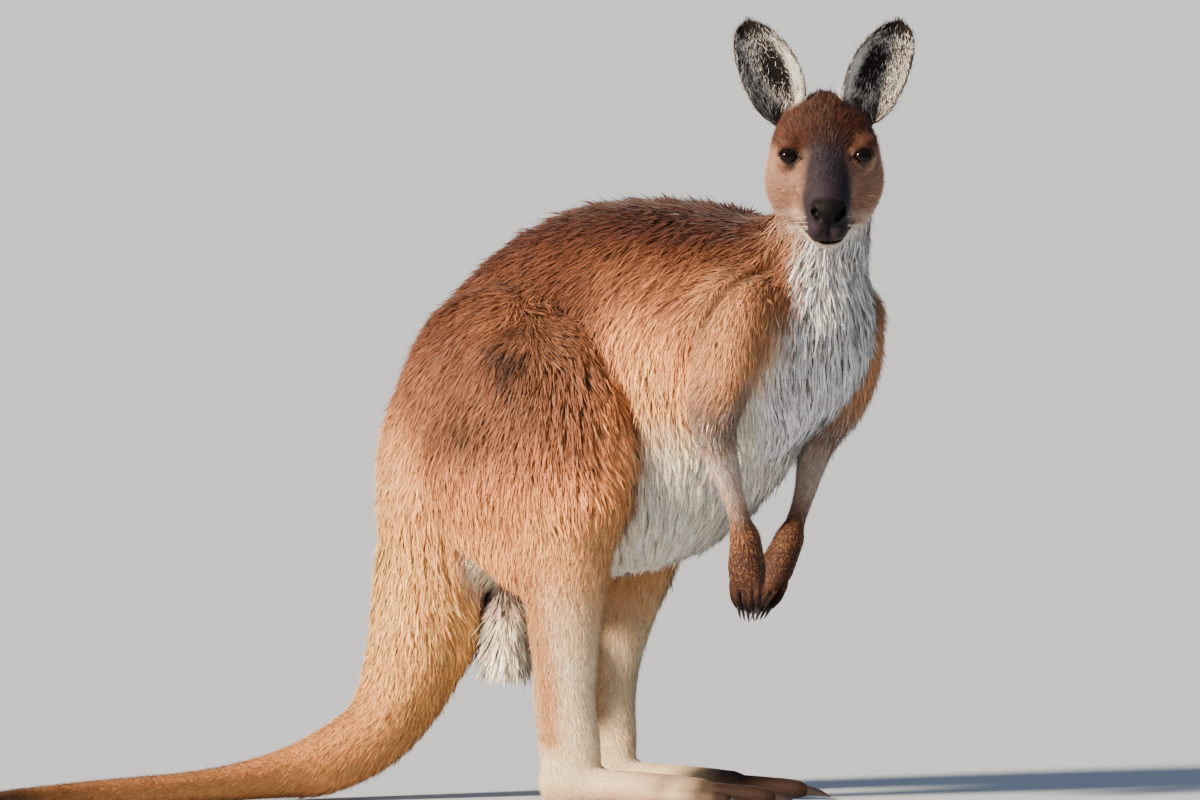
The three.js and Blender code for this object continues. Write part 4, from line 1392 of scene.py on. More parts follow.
@dataclass(eq=False)
class Fur:
    """Sets tufts on the skin and makes the coat's pieces."""

    coat: Coat
    shift: Shift
    guide: Guide
    quads: Array  # the skin's
    scale: float  # what the tufts' spacing is multiplied by
    nap: Nap = Nap()
    most: int = 196000  # triangles in one piece

    def __post_init__(self) -> None:
        """Cuts the quads in two and seeds the draws."""
        self.triangles = np.concatenate([self.quads[:, [0, 1, 2]], self.quads[:, [0, 2, 3]]])
        self.rng = np.random.default_rng(SEED)
        self.noise = Noise(SEED + 1)

    def roots(self) -> Tufts:
        """Returns where the tufts grow, evenly spread, with what they need to know there."""
        g, tri = self.guide, self.triangles
        a, b, c = (g.at[tri[:, i]] for i in range(3))
        area = np.linalg.norm(np.cross(b - a, c - a), axis=1) / 2
        gap = self.spacing(g.coat, g.weight)
        spacing = gap[tri].mean(1)
        count = self.rng.poisson(area / spacing**2 * self.nap.tries)
        pick = np.repeat(np.arange(len(tri)), count)
        r1, r2 = self.rng.random((2, len(pick)))
        r1 = np.sqrt(r1)
        share = np.stack([1 - r1, r1 * (1 - r2), r1 * r2], 1)
        order = self.rng.permutation(len(pick))
        pick, share = pick[order], share[order]
        corners = tri[pick]
        at, coat = self._blend(g.at, corners, share), self._blend(g.coat, corners, share)
        level = np.round(np.log2(self._blend(gap, corners, share)) * 4) / 4
        key = cell_key(at / (2.0**level)[:, None], (level * 4).astype(np.int64))
        _, first = np.unique(key, return_index=True)
        corners, share = corners[first], share[first]
        found = {"at": at[first], "coat": coat[first]}
        for name in ("normal", "flow", "colour"):
            found[name] = self._blend(getattr(g, name), corners, share)
        found["normal"], found["flow"] = unit(found["normal"]), unit(found["flow"])
        found["part"], found["weight"] = g.part[corners[:, 0]], g.weight[corners[:, 0]]
        spots = g.spot[corners]
        same = np.ptp(spots, axis=1).max(1) < SEAM
        found["spot"] = np.where(same[:, None], self._blend(g.spot, corners, share), spots[:, 0])
        return found

    def spacing(self, coat: Array, weight: Array) -> Array:
        """Spaces the tufts: closest on the head, widest on the lower legs.

        Args:
            coat: the coat's depth.
            weight: each region's share.

        Returns:
            How far apart they stand.
        """
        low = weight[:, [Part.SHIN.value, Part.FOOT.value]].sum(1)
        head = weight[:, [Part.HEAD.value, Part.EAR.value]].sum(1)
        sparse = self.nap.low * low + self.nap.body * (1 - low - head)
        return (self.nap.spacing + self.nap.wider * coat) * (1 + sparse) * self.scale

    @staticmethod
    def _blend(values: Array, corners: Array, share: Array) -> Array:
        """Returns values at the roots, from those at the corners of their triangles."""
        return np.einsum("ij...,ij->i...", values[corners], share)

    def grow(self) -> Iterable[tuple[bpy.types.Object, Pelt]]:
        """Yields the coat's pieces, each with its kind of hair."""
        r = self.roots()
        q = self.coat.body.head.local(r["at"])
        bare = self.bare(r, q)
        r = {name: values[~bare] for name, values in r.items()}
        q = q[~bare]
        self.mingle(r)
        self.style(r, q)
        lock = (self.rng.random(len(q)) < self.nap.locks * (0.25 + r["shag"])) & (r["length"] > 11)
        lock |= (self.rng.random(len(q)) < 0.6) & (r["curl"] > 0)
        log.info("tufts: %d, of which %d are locks", len(q), lock.sum())
        for name, pelt, mine in self.groups(r):
            for shape, chosen in ((Shape.SPIKE, mine & ~lock), (Shape.LOCK, mine & lock)):
                index = np.flatnonzero(chosen)
                if len(index) == 0:
                    continue
                count = -(-len(index) * shape.value // self.most)
                index = index[np.argsort(r["at"][index, 0], kind="stable")]
                for number, part in enumerate(np.array_split(index, count)):
                    label = f"coat_{name}_{shape.name.lower()}s" + (f"_{number + 1}" if count > 1 else "")
                    yield self.piece(label, {k: v[part] for k, v in r.items()}, shape), pelt

    def mingle(self, r: Tufts) -> None:
        """Lets many tufts take a neighbour's colour, so that markings end in mixed hair.

        Args:
            r: the tufts, whose colours are changed.
        """
        size = 2.0 ** np.round(np.log2(3 + 10 * ramp(r["coat"], 2, 7)))
        key = cell_key(r["at"] / size[:, None], size.astype(np.int64))
        order = np.lexsort((self.rng.random(len(key)), key))
        after = np.roll(order, -1)
        same = key[order] == key[after]
        other = np.arange(len(key))
        other[order[same]] = after[same]
        far = np.linalg.norm(r["at"] - r["at"][other], axis=1) > 1.5 * size
        still = far | np.isin(r["part"], [Part.HEAD.value, Part.EAR.value]) | (self.rng.random(len(key)) < 0.4)
        r["colour"] = np.where(still[:, None], r["colour"], r["colour"][other])

    def groups(self, r: Tufts) -> Iterable[tuple[str, Pelt, Array]]:
        """Divides the coat.

        Args:
            r: the tufts.

        Yields:
            The name of each stretch, its kind of hair and which tufts are in it.
        """
        part, left = r["part"], r["at"][:, 1] > -30
        trunk = part == Part.TRUNK.value
        pale = Coat.chest(r["at"], np.zeros(len(part))) + ramp(r["at"][:, 2], 440, 420) * (r["at"][:, 0] > -35)
        pale = trunk & (pale > 0.5)
        yield "head", Pelt.FACE, (part == Part.HEAD.value)
        yield "ears", Pelt.GREY, (part == Part.EAR.value)
        yield "neck", Pelt.TAWNY, (part == Part.NECK.value)
        for name, here in (("left", left), ("right", ~left)):
            yield f"back_{name}", Pelt.TAWNY, trunk & ~pale & here
            yield f"belly_{name}", Pelt.PALE, pale & here
            yield f"thigh_{name}", Pelt.TAWNY, (part == Part.THIGH.value) & here
            yield f"shin_{name}", Pelt.PALE, np.isin(part, [Part.SHIN.value, Part.FOOT.value]) & here
            yield f"arm_{name}", Pelt.GREY, (part == Part.ARM.value) & here
            yield f"hand_{name}", Pelt.DARK, (part == Part.HAND.value) & here
        yield "scrotum", Pelt.CREAM, (part == Part.SCROTUM.value)
        yield "tail", Pelt.TAWNY, (part == Part.TAIL.value)

    def bare(self, r: Tufts, q: Array) -> Array:
        """Finds tufts that would stand on bare skin: the eyes' rims, the nose, the lips, the soles.

        Args:
            r: the tufts.
            q: their roots in the head's frame.

        Returns:
            Which of them to leave out.
        """
        bare = (r["normal"][:, 2] < -0.9) & (r["at"][:, 2] < 6)
        on_head = r["part"] == Part.HEAD.value
        for o in self.coat.body.head.openings:
            bare |= on_head & (o.gap(q) < 2.0) & (np.linalg.norm(q - o.at, axis=1) < 26)
        x, _, z = q.T
        nose = (nose_pad(q) > 0.4) | (np.minimum(nostril(q, 1), nostril(q, -1)) < 1.0)
        mouth = (x > 44) & (np.abs(z - mouth_line(x, q[:, 1])) < 2.8)
        return bare | on_head & (nose | mouth)

    def style(self, r: Tufts, q: Array) -> None:
        """Adds each tuft's shag, length, rise, curl, tint and painted shade at the root.

        Args:
            r: the tufts, which are added to.
            q: their roots in the head's frame.
        """
        rng, n = self.rng, len(q)
        w = {part: r["weight"][:, part.value] for part in Part}
        x, y, z = r["at"].T
        down = ramp(r["normal"][:, 2], 0.0, -0.6)
        chest = Coat.chest(r["at"], np.zeros(n)) * (w[Part.TRUNK] + w[Part.NECK])
        front = ramp(x, -60, 40) * ramp(z, 280, 360)
        shag = w[Part.TRUNK] * (0.25 + 0.55 * down) + 0.35 * chest + 0.4 * w[Part.SCROTUM]
        shag += 0.6 * w[Part.TAIL] * ramp(z, 60, 200) + w[Part.THIGH] * (0.35 + 0.3 * front)
        shag = np.clip(shag * (1 + 0.5 * self.noise(r["at"], 70.0)), 0, 1)
        length = (self.nap.long * r["coat"] + 1.2) * (1 + 0.4 * shag)
        hang = ramp(z, 335, 290) * ramp(z, 150, 175) * ramp(np.abs(y), 75, 50) * ramp(x, -165, -140)
        hang = hang * ramp(x, -45, -75) * (1 - w[Part.SHIN]) * (0.5 + 0.5 * w[Part.SCROTUM])
        crown = w[Part.HEAD] * ramp(q[:, 2], 42, 52) * ramp(np.abs(q[:, 1]), 30, 14) * ramp(q[:, 0], -70, -50)
        length = length * (1 - 0.3 * w[Part.SCROTUM]) + 26 * hang + 9 * crown
        away = np.hypot(x - Coat.whorl[0], z - Coat.whorl[1])
        length = length * (1 - 0.35 * w[Part.THIGH] * ramp(away, 60, 10))
        fold = np.sqrt(Body.crease(r["at"]))  # short hair lies flat in the crease behind a shoulder
        nape = bell(x, 222, 45) * bell(z, 725, 36)
        length = length * (1 - 0.55 * fold) * (1 - 0.4 * nape)
        ear = w[Part.EAR] > 0.5
        inside, pale, long = self._ear_hair(r, q, ear)
        length = np.where(ear, 4.6 + long, length) * rng.uniform(0.7, 1.2, n)
        hand = w[Part.HAND] + w[Part.ARM] * ramp(z, 420, 350)
        body = w[Part.TRUNK] + w[Part.THIGH] + w[Part.NECK]
        grizzle = 0.15 * chest + 0.12 * w[Part.ARM] + 0.10 * body + 0.2 * hand
        grizzle += 0.14 * w[Part.HEAD] * ramp(q[:, 0], 60, 0) + 0.16 * (w[Part.SHIN] + w[Part.FOOT])
        grizzle += 0.12 * w[Part.THIGH] * bell(x, -40, 70) * bell(z, 490, 70)
        dark = rng.random(n) < grizzle
        tint = mix(r["colour"], linear(Tint.GRIZZLE.value) * 0.8, dark * rng.uniform(0.3, 0.85, n) * (0.5 + chest))
        white = rng.random(n) < pale
        tint = mix(tint, Tint.EAR_FRINGE, white * rng.uniform(0.6, 1.0, n))
        # the other hairs inside the ear are darkened toward that near black, as painted shade inside the cup
        tint = mix(tint, Tint.EAR_HOLLOW_SHADE, inside * ~white * rng.uniform(0.3, 0.8, n))
        # hair over the crease behind a shoulder is darkened as painted shade
        tint = mix(tint, Tint.THIGH, fold * 0.55)
        light = rng.random(n) < 0.3 * w[Part.ARM] * ramp(z, 300, 380) * ramp(z, 460, 420)
        tint = mix(tint, Tint.CHEST, light * rng.uniform(0.2, 0.7, n))
        gold = rng.random(n) < 0.42 * hand * ramp(z, 222, 245) * ramp(z, 420, 340)
        tint = mix(tint, Tint.ARM, gold * rng.uniform(0.3, 1.0, n))
        grain = 0.14 + 0.16 * ramp(r["coat"], 6, 2)  # short hair lies in small clumps that catch the light
        spread = 0.27 + 0.3 * np.clip(hand, 0, 1)  # the hands' and forearms' hair is dark and light mixed
        tone = rng.uniform(1 - spread, 0.97 + spread, n)
        tone = tone * (1 + 0.12 * self.noise(r["at"], 8.0) + grain * self.noise(r["at"], 3.2))
        r["tint"] = np.clip(tint * tone[:, None], 0, 1)
        behind = w[Part.SCROTUM] * ramp(r["normal"][:, 0], 0.3, -0.4)
        rise = (r["coat"] + (16 + 14 * behind) * hang + 8 * crown) * (1 - 0.6 * nape) * (1 - 0.7 * fold)
        guard = (rng.random(n) < 0.07 * ramp(r["coat"], 1.5, 3.5) * (1 - nape)) & ~ear  # hairs off the coat
        r["shag"], r["length"], r["rise"] = shag, length * np.where(guard, 1.15, 1), rise * np.where(guard, 2.0, 1)
        r["curl"] = inside * 0.11
        # each tuft's root is darkened as painted shade deep in the coat, most in shaggy coats and inside the ears
        pale = np.clip(2.4 * r["colour"][:, 1] - 0.6, 0, 1)  # light coats let light through to the root
        r["root"] = np.clip(0.66 - 0.3 * shag - 0.25 * inside + 0.08 * w[Part.HEAD] + 0.24 * pale, 0.28, 0.9)

    def _ear_hair(self, r: Tufts, q: Array, ear: Array) -> Array:
        """Marks the hair inside the ears.

        Args:
            r: the tufts.
            q: their roots in the head's frame.
            ear: which of them stand on an ear.

        Returns:
            Three rows: whether a tuft is inside, how likely it is white, and its extra length.
        """
        found = np.zeros((3, len(q)))
        for leaf in (mass for mass in self.coat.body.head.masses if isinstance(mass, Ear)):
            s, t, _, _ = leaf.sheet(q)
            medial = t * leaf.side
            mine = ear & (q[:, 1] * leaf.side > 0) & (dot(r["normal"] @ HEAD_PLACE[1], leaf.front) > 0.1)
            share = 0.5 - 0.45 * leaf.hollow(s, medial) + 0.6 * ramp(medial, 0.45, 0.7) * ramp(s, 0.8, 0.5)
            marks = np.stack([np.ones(len(s)), share * ramp(s, 0.93, 0.78), 4.2 + 6.0 * ramp(s, 0.5, 0.1)])
            found[:, mine] = marks[:, mine]
        return found

    def piece(self, name: str, r: Tufts, shape: Shape) -> bpy.types.Object:
        """Makes one joined mesh of tufts.

        Args:
            name: the piece's name.
            r: its tufts.
            shape: their shape.

        Returns:
            The piece, whose points carry colours, baking places and soft normals.
        """
        n, rng, nap = len(r["at"]), self.rng, self.nap
        bent = shape is Shape.LOCK
        length = r["length"][:, None] * (1.15 if bent else 1.0)
        width = np.maximum(nap.thin * r["length"], nap.least)[:, None] * rng.uniform(0.75, 1.3, (n, 1)) * self.scale
        width = width * (np.where(r["curl"] > 0, 0.75, 1.5)[:, None] if bent else 1.0)
        side = unit(np.cross(r["normal"], r["flow"]))
        stray = 0.2 + 0.35 * (r["part"] == Part.EAR.value)
        way = unit(r["flow"] + side * (rng.normal(0, 1.0, n) * stray)[:, None])
        rise = np.clip(r["rise"][:, None] * rng.uniform(0.65, 1.05, (n, 1)) / length, 0.10, 0.72)
        root = r["at"] - r["normal"] * 0.5
        tip = root + (way * np.sqrt(1 - rise**2) + r["normal"] * rise) * length
        tip = tip + (self.clump(r) - tip) * self.gather(r)[:, None]
        along = unit(tip - root)
        side = unit(np.cross(r["normal"], along) + r["normal"] * rng.normal(0, 0.2, (n, 1)))
        lift = unit(np.cross(along, side))
        soft = unit(r["normal"] - 0.8 * along * dot(r["normal"], along)[:, None])
        soft = unit(soft + side * rng.normal(0, 0.28, (n, 1)) + along * rng.normal(0, 0.14, (n, 1)))
        # each tuft's colour runs from painted shade at its root, through a lock's middle, to painted light at its
        # tip
        rows = [(root, 1.0, r["root"][:, None], 0.0)]
        if bent:
            middle = root + (tip - root) * 0.5 + r["normal"] * length * 0.06
            middle = middle + side * length * (r["curl"] * rng.choice((-1, 1), n))[:, None]
            rows = [(root, 0.7, r["root"][:, None], 0.0), (middle, 1.0, 0.95, 0.5)]
        points, colours, uv, normals = [], [], [], []
        for at, wide, dark, v in rows:
            for across, deep in ((-0.5, 0.0), (0.5, 0.0), (0.0, -0.45)):
                points.append(at + side * width * wide * across + lift * width * wide * deep)
                colours.append(r["tint"] * dark)
                uv.append(r["spot"] + np.array([across + 0.5, v]) * PATCH)
                normals.append(unit(soft + side * across * 0.9))
        # the tip is painted lighter than the tuft's tint, as painted light on the coat's surface
        points.append(tip)
        colours.append(np.clip(r["tint"] * 1.28, 0, 1))
        uv.append(r["spot"] + np.array([0.5, 1.0]) * PATCH)
        normals.append(soft)
        per = len(points)
        points, colours, normals = (np.stack(v, 1).reshape(-1, 3) for v in (points, colours, normals))
        points[:, 2] = np.maximum(points[:, 2], GROUND)
        faces = (np.arange(n)[:, None, None] * per + shape.faces[None]).reshape(-1, 3)
        return to_mesh(name, self.shift(points), faces, colours, np.stack(uv, 1).reshape(-1, 2), normals=normals)

    def clump(self, r: Tufts) -> Array:
        """Gathers tufts into locks.

        Args:
            r: the tufts.

        Returns:
            Where the tips of the tufts near each root are drawn to.
        """
        size = np.clip(r["length"] * (0.35 + 0.35 * r["shag"]), 2.4, 14.0)
        size = 2.0 ** (np.round(np.log2(size) * 2) / 2)
        stir = np.stack([self.noise(r["at"] + 40 * a, 30.0) for a in range(3)], 1) * 6
        key = cell_key((r["at"] + stir) / size[:, None], (size * 4).astype(np.int64))
        _, index = np.unique(key, return_inverse=True)
        count = np.bincount(index)
        ends = r["at"] + r["flow"] * r["length"][:, None] * 0.92 + r["normal"] * r["coat"][:, None] * 0.9
        middle = np.stack([np.bincount(index, ends[:, a]) / count for a in range(3)], 1)
        return middle[index]

    def gather(self, r: Tufts) -> Array:
        """Returns how strongly the tufts are drawn into locks."""
        head = 0.16 * (r["part"] == Part.HEAD.value)
        return np.clip(0.16 + 0.45 * r["shag"] + head + 0.12 * self.noise(r["at"], 60.0), 0.04, 0.7)


def thin(thing: bpy.types.Object, most: int) -> None:
    """Thins a mesh where it is flattest.

    Args:
        thing: a piece of quads.
        most: how many triangles it may keep.
    """
    thinner = thing.modifiers.new("thinner", "DECIMATE")
    thinner.ratio = most / (2 * len(thing.data.polygons))
    plain = bpy.data.meshes.new_from_object(thing.evaluated_get(bpy.context.evaluated_depsgraph_get()))
    thing.modifiers.remove(thinner)
    thing.data = plain


def cell_key(p: Array, kind: Array) -> Array:
    """Returns a number for the cell of a unit grid that each point lies in, apart for each kind."""
    cell = np.floor(p).astype(np.int64)
    return (cell[:, 0] * HASH[0] ^ cell[:, 1] * HASH[1] ^ cell[:, 2] * HASH[2]) * 128 + kind


def unwrap(body: Body, p: Array) -> Array:
    """Unwraps the skin: a tile to each mass, along it and round it.

    Args:
        body: the skin's masses.
        p: points on it.

    Returns:
        Their places, from 0 to 1.
    """
    leaves = list(body.leaves(p))
    distances = np.stack([mass.distance(q) for mass, q, _ in leaves], 1)
    nearest = distances.argmin(1)
    across = math.ceil(math.sqrt(len(leaves) + 2))
    made = np.zeros((len(p), 2))
    for number, (mass, q, _) in enumerate(leaves):
        mine = nearest == number
        if not mine.any():
            continue
        tile = np.array([number % across, number // across])
        made[mine] = (tile + 0.03 + 0.92 * np.stack(mass.spot(q[mine]), 1)) / across
    return np.clip(made, 0, 0.996)


# ---- finishes
def add_node(tree: bpy.types.NodeTree, kind: str, settings: dict[str, str] | None = None,
             **inputs: object) -> bpy.types.Node:
    """Adds a node.

    Args:
        tree: the tree that it goes into.
        kind: its type.
        settings: its own properties.
        inputs: a value or a link for each input, named by its name or, after an underscore, its number.

    Returns:
        The node.
    """
    node = tree.nodes.new(kind)
    for name, value in (settings or {}).items():
        setattr(node, name, value)
    for name, value in inputs.items():
        socket = node.inputs[int(name[1:]) if name[1:].isdigit() else name.replace("_", " ")]
        if isinstance(value, bpy.types.NodeSocket):
            tree.links.new(value, socket)
        else:
            socket.default_value = value
    return node


@dataclass(frozen=True)
class Finish:
    """A finish of hair, skin, horn or eye, over the painted colours."""

    name: str
    roughness: float
    specular: float
    grain: float  # millimetres across a fleck, a few hairs' width, so that it shows
    depth: float  # millimetres of relief
    sheen: float = 0.0
    swing: float = 0.22  # how much darker and lighter than the paint the flecks are

    def material(self) -> bpy.types.Material:
        """Returns the finish as a material that reads the colour attribute."""
        material = bpy.data.materials.new(self.name)
        material.use_nodes = True
        tree = material.node_tree
        tree.nodes.clear()
        place = add_node(tree, "ShaderNodeTexCoord")
        paint = add_node(tree, "ShaderNodeAttribute", {"attribute_name": "coat"})
        fleck = add_node(tree, "ShaderNodeTexNoise", Vector=place.outputs["Object"], Scale=1000 / self.grain,
                         Detail=3.0)
        tone = add_node(tree, "ShaderNodeMapRange", Value=fleck.outputs["Fac"], From_Min=0.3, From_Max=0.7,
                        To_Min=1 - self.swing, To_Max=1 + self.swing)
        tinted = add_node(tree, "ShaderNodeVectorMath", {"operation": "SCALE"}, _0=paint.outputs["Color"],
                          Scale=tone.outputs[0])
        shader = add_node(tree, "ShaderNodeBsdfPrincipled", Base_Color=tinted.outputs[0],
                          Roughness=self.roughness, Specular_IOR_Level=self.specular,
                          Sheen_Weight=self.sheen, Sheen_Roughness=0.5)
        if self.depth:
            relief = add_node(tree, "ShaderNodeBump", Height=fleck.outputs["Fac"], Distance=self.depth / 1000,
                              Strength=0.8)
            tree.links.new(relief.outputs[0], shader.inputs["Normal"])
        add_node(tree, "ShaderNodeOutputMaterial", Surface=shader.outputs[0])
        return material


# ---- eyes and claws
def revolve(profile: Sequence[tuple[float, float]], sides: int) -> tuple[Array, Array]:
    """Turns a profile about X.

    Args:
        profile: [along X, radius] from end to end, both ends on the axis.
        sides: how many faces go round.

    Returns:
        The points and the quads.
    """
    turn = np.arange(sides) / sides * 2 * math.pi
    rows = [np.stack([np.full(sides, x), r * np.cos(turn), r * np.sin(turn)], 1) for x, r in profile]
    points = np.concatenate(rows)
    i = np.arange(sides)
    j = (i + 1) % sides
    faces = [np.stack([k * sides + i, (k + 1) * sides + i, (k + 1) * sides + j, k * sides + j], 1)
             for k in range(len(profile) - 1)]
    return points, np.concatenate(faces)


@dataclass(frozen=True)
class Eye:
    """An eyeball with a raised cornea over a dark iris."""

    opening: Opening
    rings: int = 41
    sides: int = 48
    cornea: float = 0.035  # how far it stands out, over the radius
    iris: str = "#1A0C07"
    pupil: str = "#070503"
    rim: str = "#0E0806"
    white: str = "#1E1410"  # dark, as a kangaroo's is where the lids show it

    def build(self, name: str, shift: Shift) -> bpy.types.Object:
        """Makes the eye, which stands for its solid.

        Args:
            name: its name, which is the solid's and "_ball".
            shift: what takes it to the part's frame.

        Returns:
            The eyeball.
        """
        angles = np.linspace(0, math.pi, self.rings)
        swell = 1 + self.cornea * ramp(angles, 0.62, 0.35)
        profile = [(EYE_RADIUS * k * math.cos(a), EYE_RADIUS * k * math.sin(a)) for a, k in zip(angles, swell)]
        points, faces = revolve(profile[::-1], self.sides)
        o = self.opening
        axes = np.stack([o.ahead, o.out, np.cross(o.ahead, o.out)], 0)
        local = points @ axes + o.at
        away = np.arccos(np.clip(unit(points)[:, 0], -1, 1))
        turn = np.arctan2(points[:, 2], points[:, 1])
        iris = linear(self.iris) * (1 + 0.25 * np.sin(turn * 37))[:, None]  # its fibres
        colour = mix(iris, linear(self.pupil), ramp(away, 0.36, 0.28))
        colour = mix(colour, linear(self.rim), ramp(away, 0.6, 0.68))
        colour = mix(colour, linear(self.white), ramp(away, 0.85, 1.0))
        made = HEAD_PLACE[0] + local @ HEAD_PLACE[1].T
        eye = to_mesh(name, shift(made), faces, colour, closed=True)
        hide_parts(name.replace("_ball", ""))
        return eye


@dataclass(frozen=True)
class Claw:
    """A curved claw, sunk a little into its toe at the root."""

    node: str
    root: tuple[float, float, float]
    tip: tuple[float, float, float]
    radius: float
    rise: float  # how far it arches over the line from root to tip
    sides: int = 14
    rings: int = 14
    horn: str = "#2B211C"
    worn: str = "#6A5A4C"  # of the tip

    def build(self, shift: Shift) -> bpy.types.Object:
        """Returns the claw, which stands for its solid."""
        root, tip = np.array(self.root, float), np.array(self.tip, float)
        run = tip - root
        root = root - unit(run) * 2.5
        middle = (root + tip) / 2 + np.array([0, 0, self.rise * 1.3])
        t = np.linspace(0, 1, self.rings)[:, None]
        line = (1 - t) ** 2 * root + 2 * t * (1 - t) * middle + t**2 * tip
        heading = unit(np.gradient(line, axis=0))
        across = unit(np.cross(heading, (0.02, 0.01, 1.0)))
        over = np.cross(across, heading)
        radius = self.radius * 0.93 * np.maximum(1 - t**1.6, 0.06) ** 0.8 * ((t > 0) & (t < 1))
        line[-1], line[0] = line[-2] + (line[-1] - line[-2]) * 0.9, line[1]
        turn = np.linspace(0, 2 * math.pi, self.sides, endpoint=False)
        ring = across[:, None] * np.cos(turn)[None, :, None] * 0.82 + over[:, None] * np.sin(turn)[None, :, None]
        points = (line[:, None] + ring * radius[:, None]).reshape(-1, 3)
        points[:, 2] = np.maximum(points[:, 2], 0.5)
        i, j = np.arange(self.sides), (np.arange(self.sides) + 1) % self.sides
        quads = [np.stack([k * self.sides + i, k * self.sides + j, (k + 1) * self.sides + j,
                           (k + 1) * self.sides + i], 1) for k in range(self.rings - 1)]
        colour = mix(np.tile(linear(self.horn), (len(points), 1)), linear(self.worn),
                     np.repeat(ramp(t[:, 0], 0.75, 1.0), self.sides) * 0.6)
        claw = to_mesh("horn_" + self.node, shift(points), np.concatenate(quads), colour, closed=True)
        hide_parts(self.node)
        return claw


# each claw's root and tip as [x, outward, z], its radius and its rise
FOOT_CLAWS = {
    "fourth": ((233, 2, 10), (263, 2, 3), 6.2, 3), "fifth": ((189, 23, 8.5), (209, 24, 3), 4.8, 2),
    "grooming_outer": ((154.5, -17.2, 8), (169, -17, 3.5), 2.6, 1),
    "grooming_inner": ((154.5, -23.8, 8), (167, -24.5, 3.5), 2.6, 1),
}


def claws() -> Iterable[Claw]:
    """Yields every claw of the feet and the hands."""
    for side, s in (("left", 1), ("right", -1)):
        for name, (root, tip, radius, rise) in FOOT_CLAWS.items():
            ends = [(x, s * (STANCE + out), z) for x, out, z in (root, tip)]
            yield Claw(f"foot_{side}_claw_{name}", *ends, radius, rise)
        stations = ARM_LEFT if s > 0 else ARM_RIGHT
        back, palm = (np.array((x, s * y, z), float) for x, y, z, *_ in stations[-2:])
        down = unit(palm - back)
        for number, ahead in enumerate(FINGERS, 1):
            long = 27 - abs(ahead) * 0.25
            ends = []
            for spread, step, out in ((0.78, long + 2.0, -0.8), (0.74, long + 17, -4.0)):
                local = palm + np.array([ahead * spread, s * out, 0]) + down * step
                ends.append(tuple(CHEST_PLACE[0] + CHEST_PLACE[1] @ local))
            yield Claw(f"hand_{side}_claw_{number}", *ends, 2.8, 0.6)


def hair_tree(material: bpy.types.Material) -> bpy.types.NodeTree:
    """Makes a tree that turns a mesh's edges into round tapering hairs.

    Each point of the mesh holds its hair's radius there. The inputs Sides and Thickness are the faces round a
    hair and what its radius is multiplied by.

    Args:
        material: the hairs' finish.

    Returns:
        The tree.
    """
    tree = bpy.data.node_groups.new("tapering hairs", "GeometryNodeTree")
    for name, kind in (("Lines", "Geometry"), ("Sides", "Int"), ("Thickness", "Float")):
        tree.interface.new_socket(name, in_out="INPUT", socket_type="NodeSocket" + kind)
    tree.interface.new_socket("Hairs", in_out="OUTPUT", socket_type="NodeSocketGeometry")
    given, made = tree.nodes.new("NodeGroupInput"), tree.nodes.new("NodeGroupOutput")
    path = add_node(tree, "GeometryNodeMeshToCurve", Mesh=given.outputs["Lines"])
    radius = add_node(tree, "GeometryNodeInputNamedAttribute", {"data_type": "FLOAT"}, Name="radius")
    thick = add_node(tree, "ShaderNodeMath", {"operation": "MULTIPLY"}, _0=radius.outputs["Attribute"],
                     _1=given.outputs["Thickness"])
    ring = add_node(tree, "GeometryNodeCurvePrimitiveCircle", Resolution=given.outputs["Sides"], Radius=1.0)
    tube = add_node(tree, "GeometryNodeCurveToMesh", Curve=path.outputs[0], Profile_Curve=ring.outputs["Curve"],
                    Scale=thick.outputs[0], Fill_Caps=True)
    smooth = add_node(tree, "GeometryNodeSetShadeSmooth", Geometry=tube.outputs[0], Shade_Smooth=True)
    real = add_node(tree, "GeometryNodeRealizeInstances", Geometry=smooth.outputs[0])
    dressed = add_node(tree, "GeometryNodeSetMaterial", Geometry=real.outputs[0], Material=material)
    tree.links.new(dressed.outputs[0], made.inputs[0])
    return tree


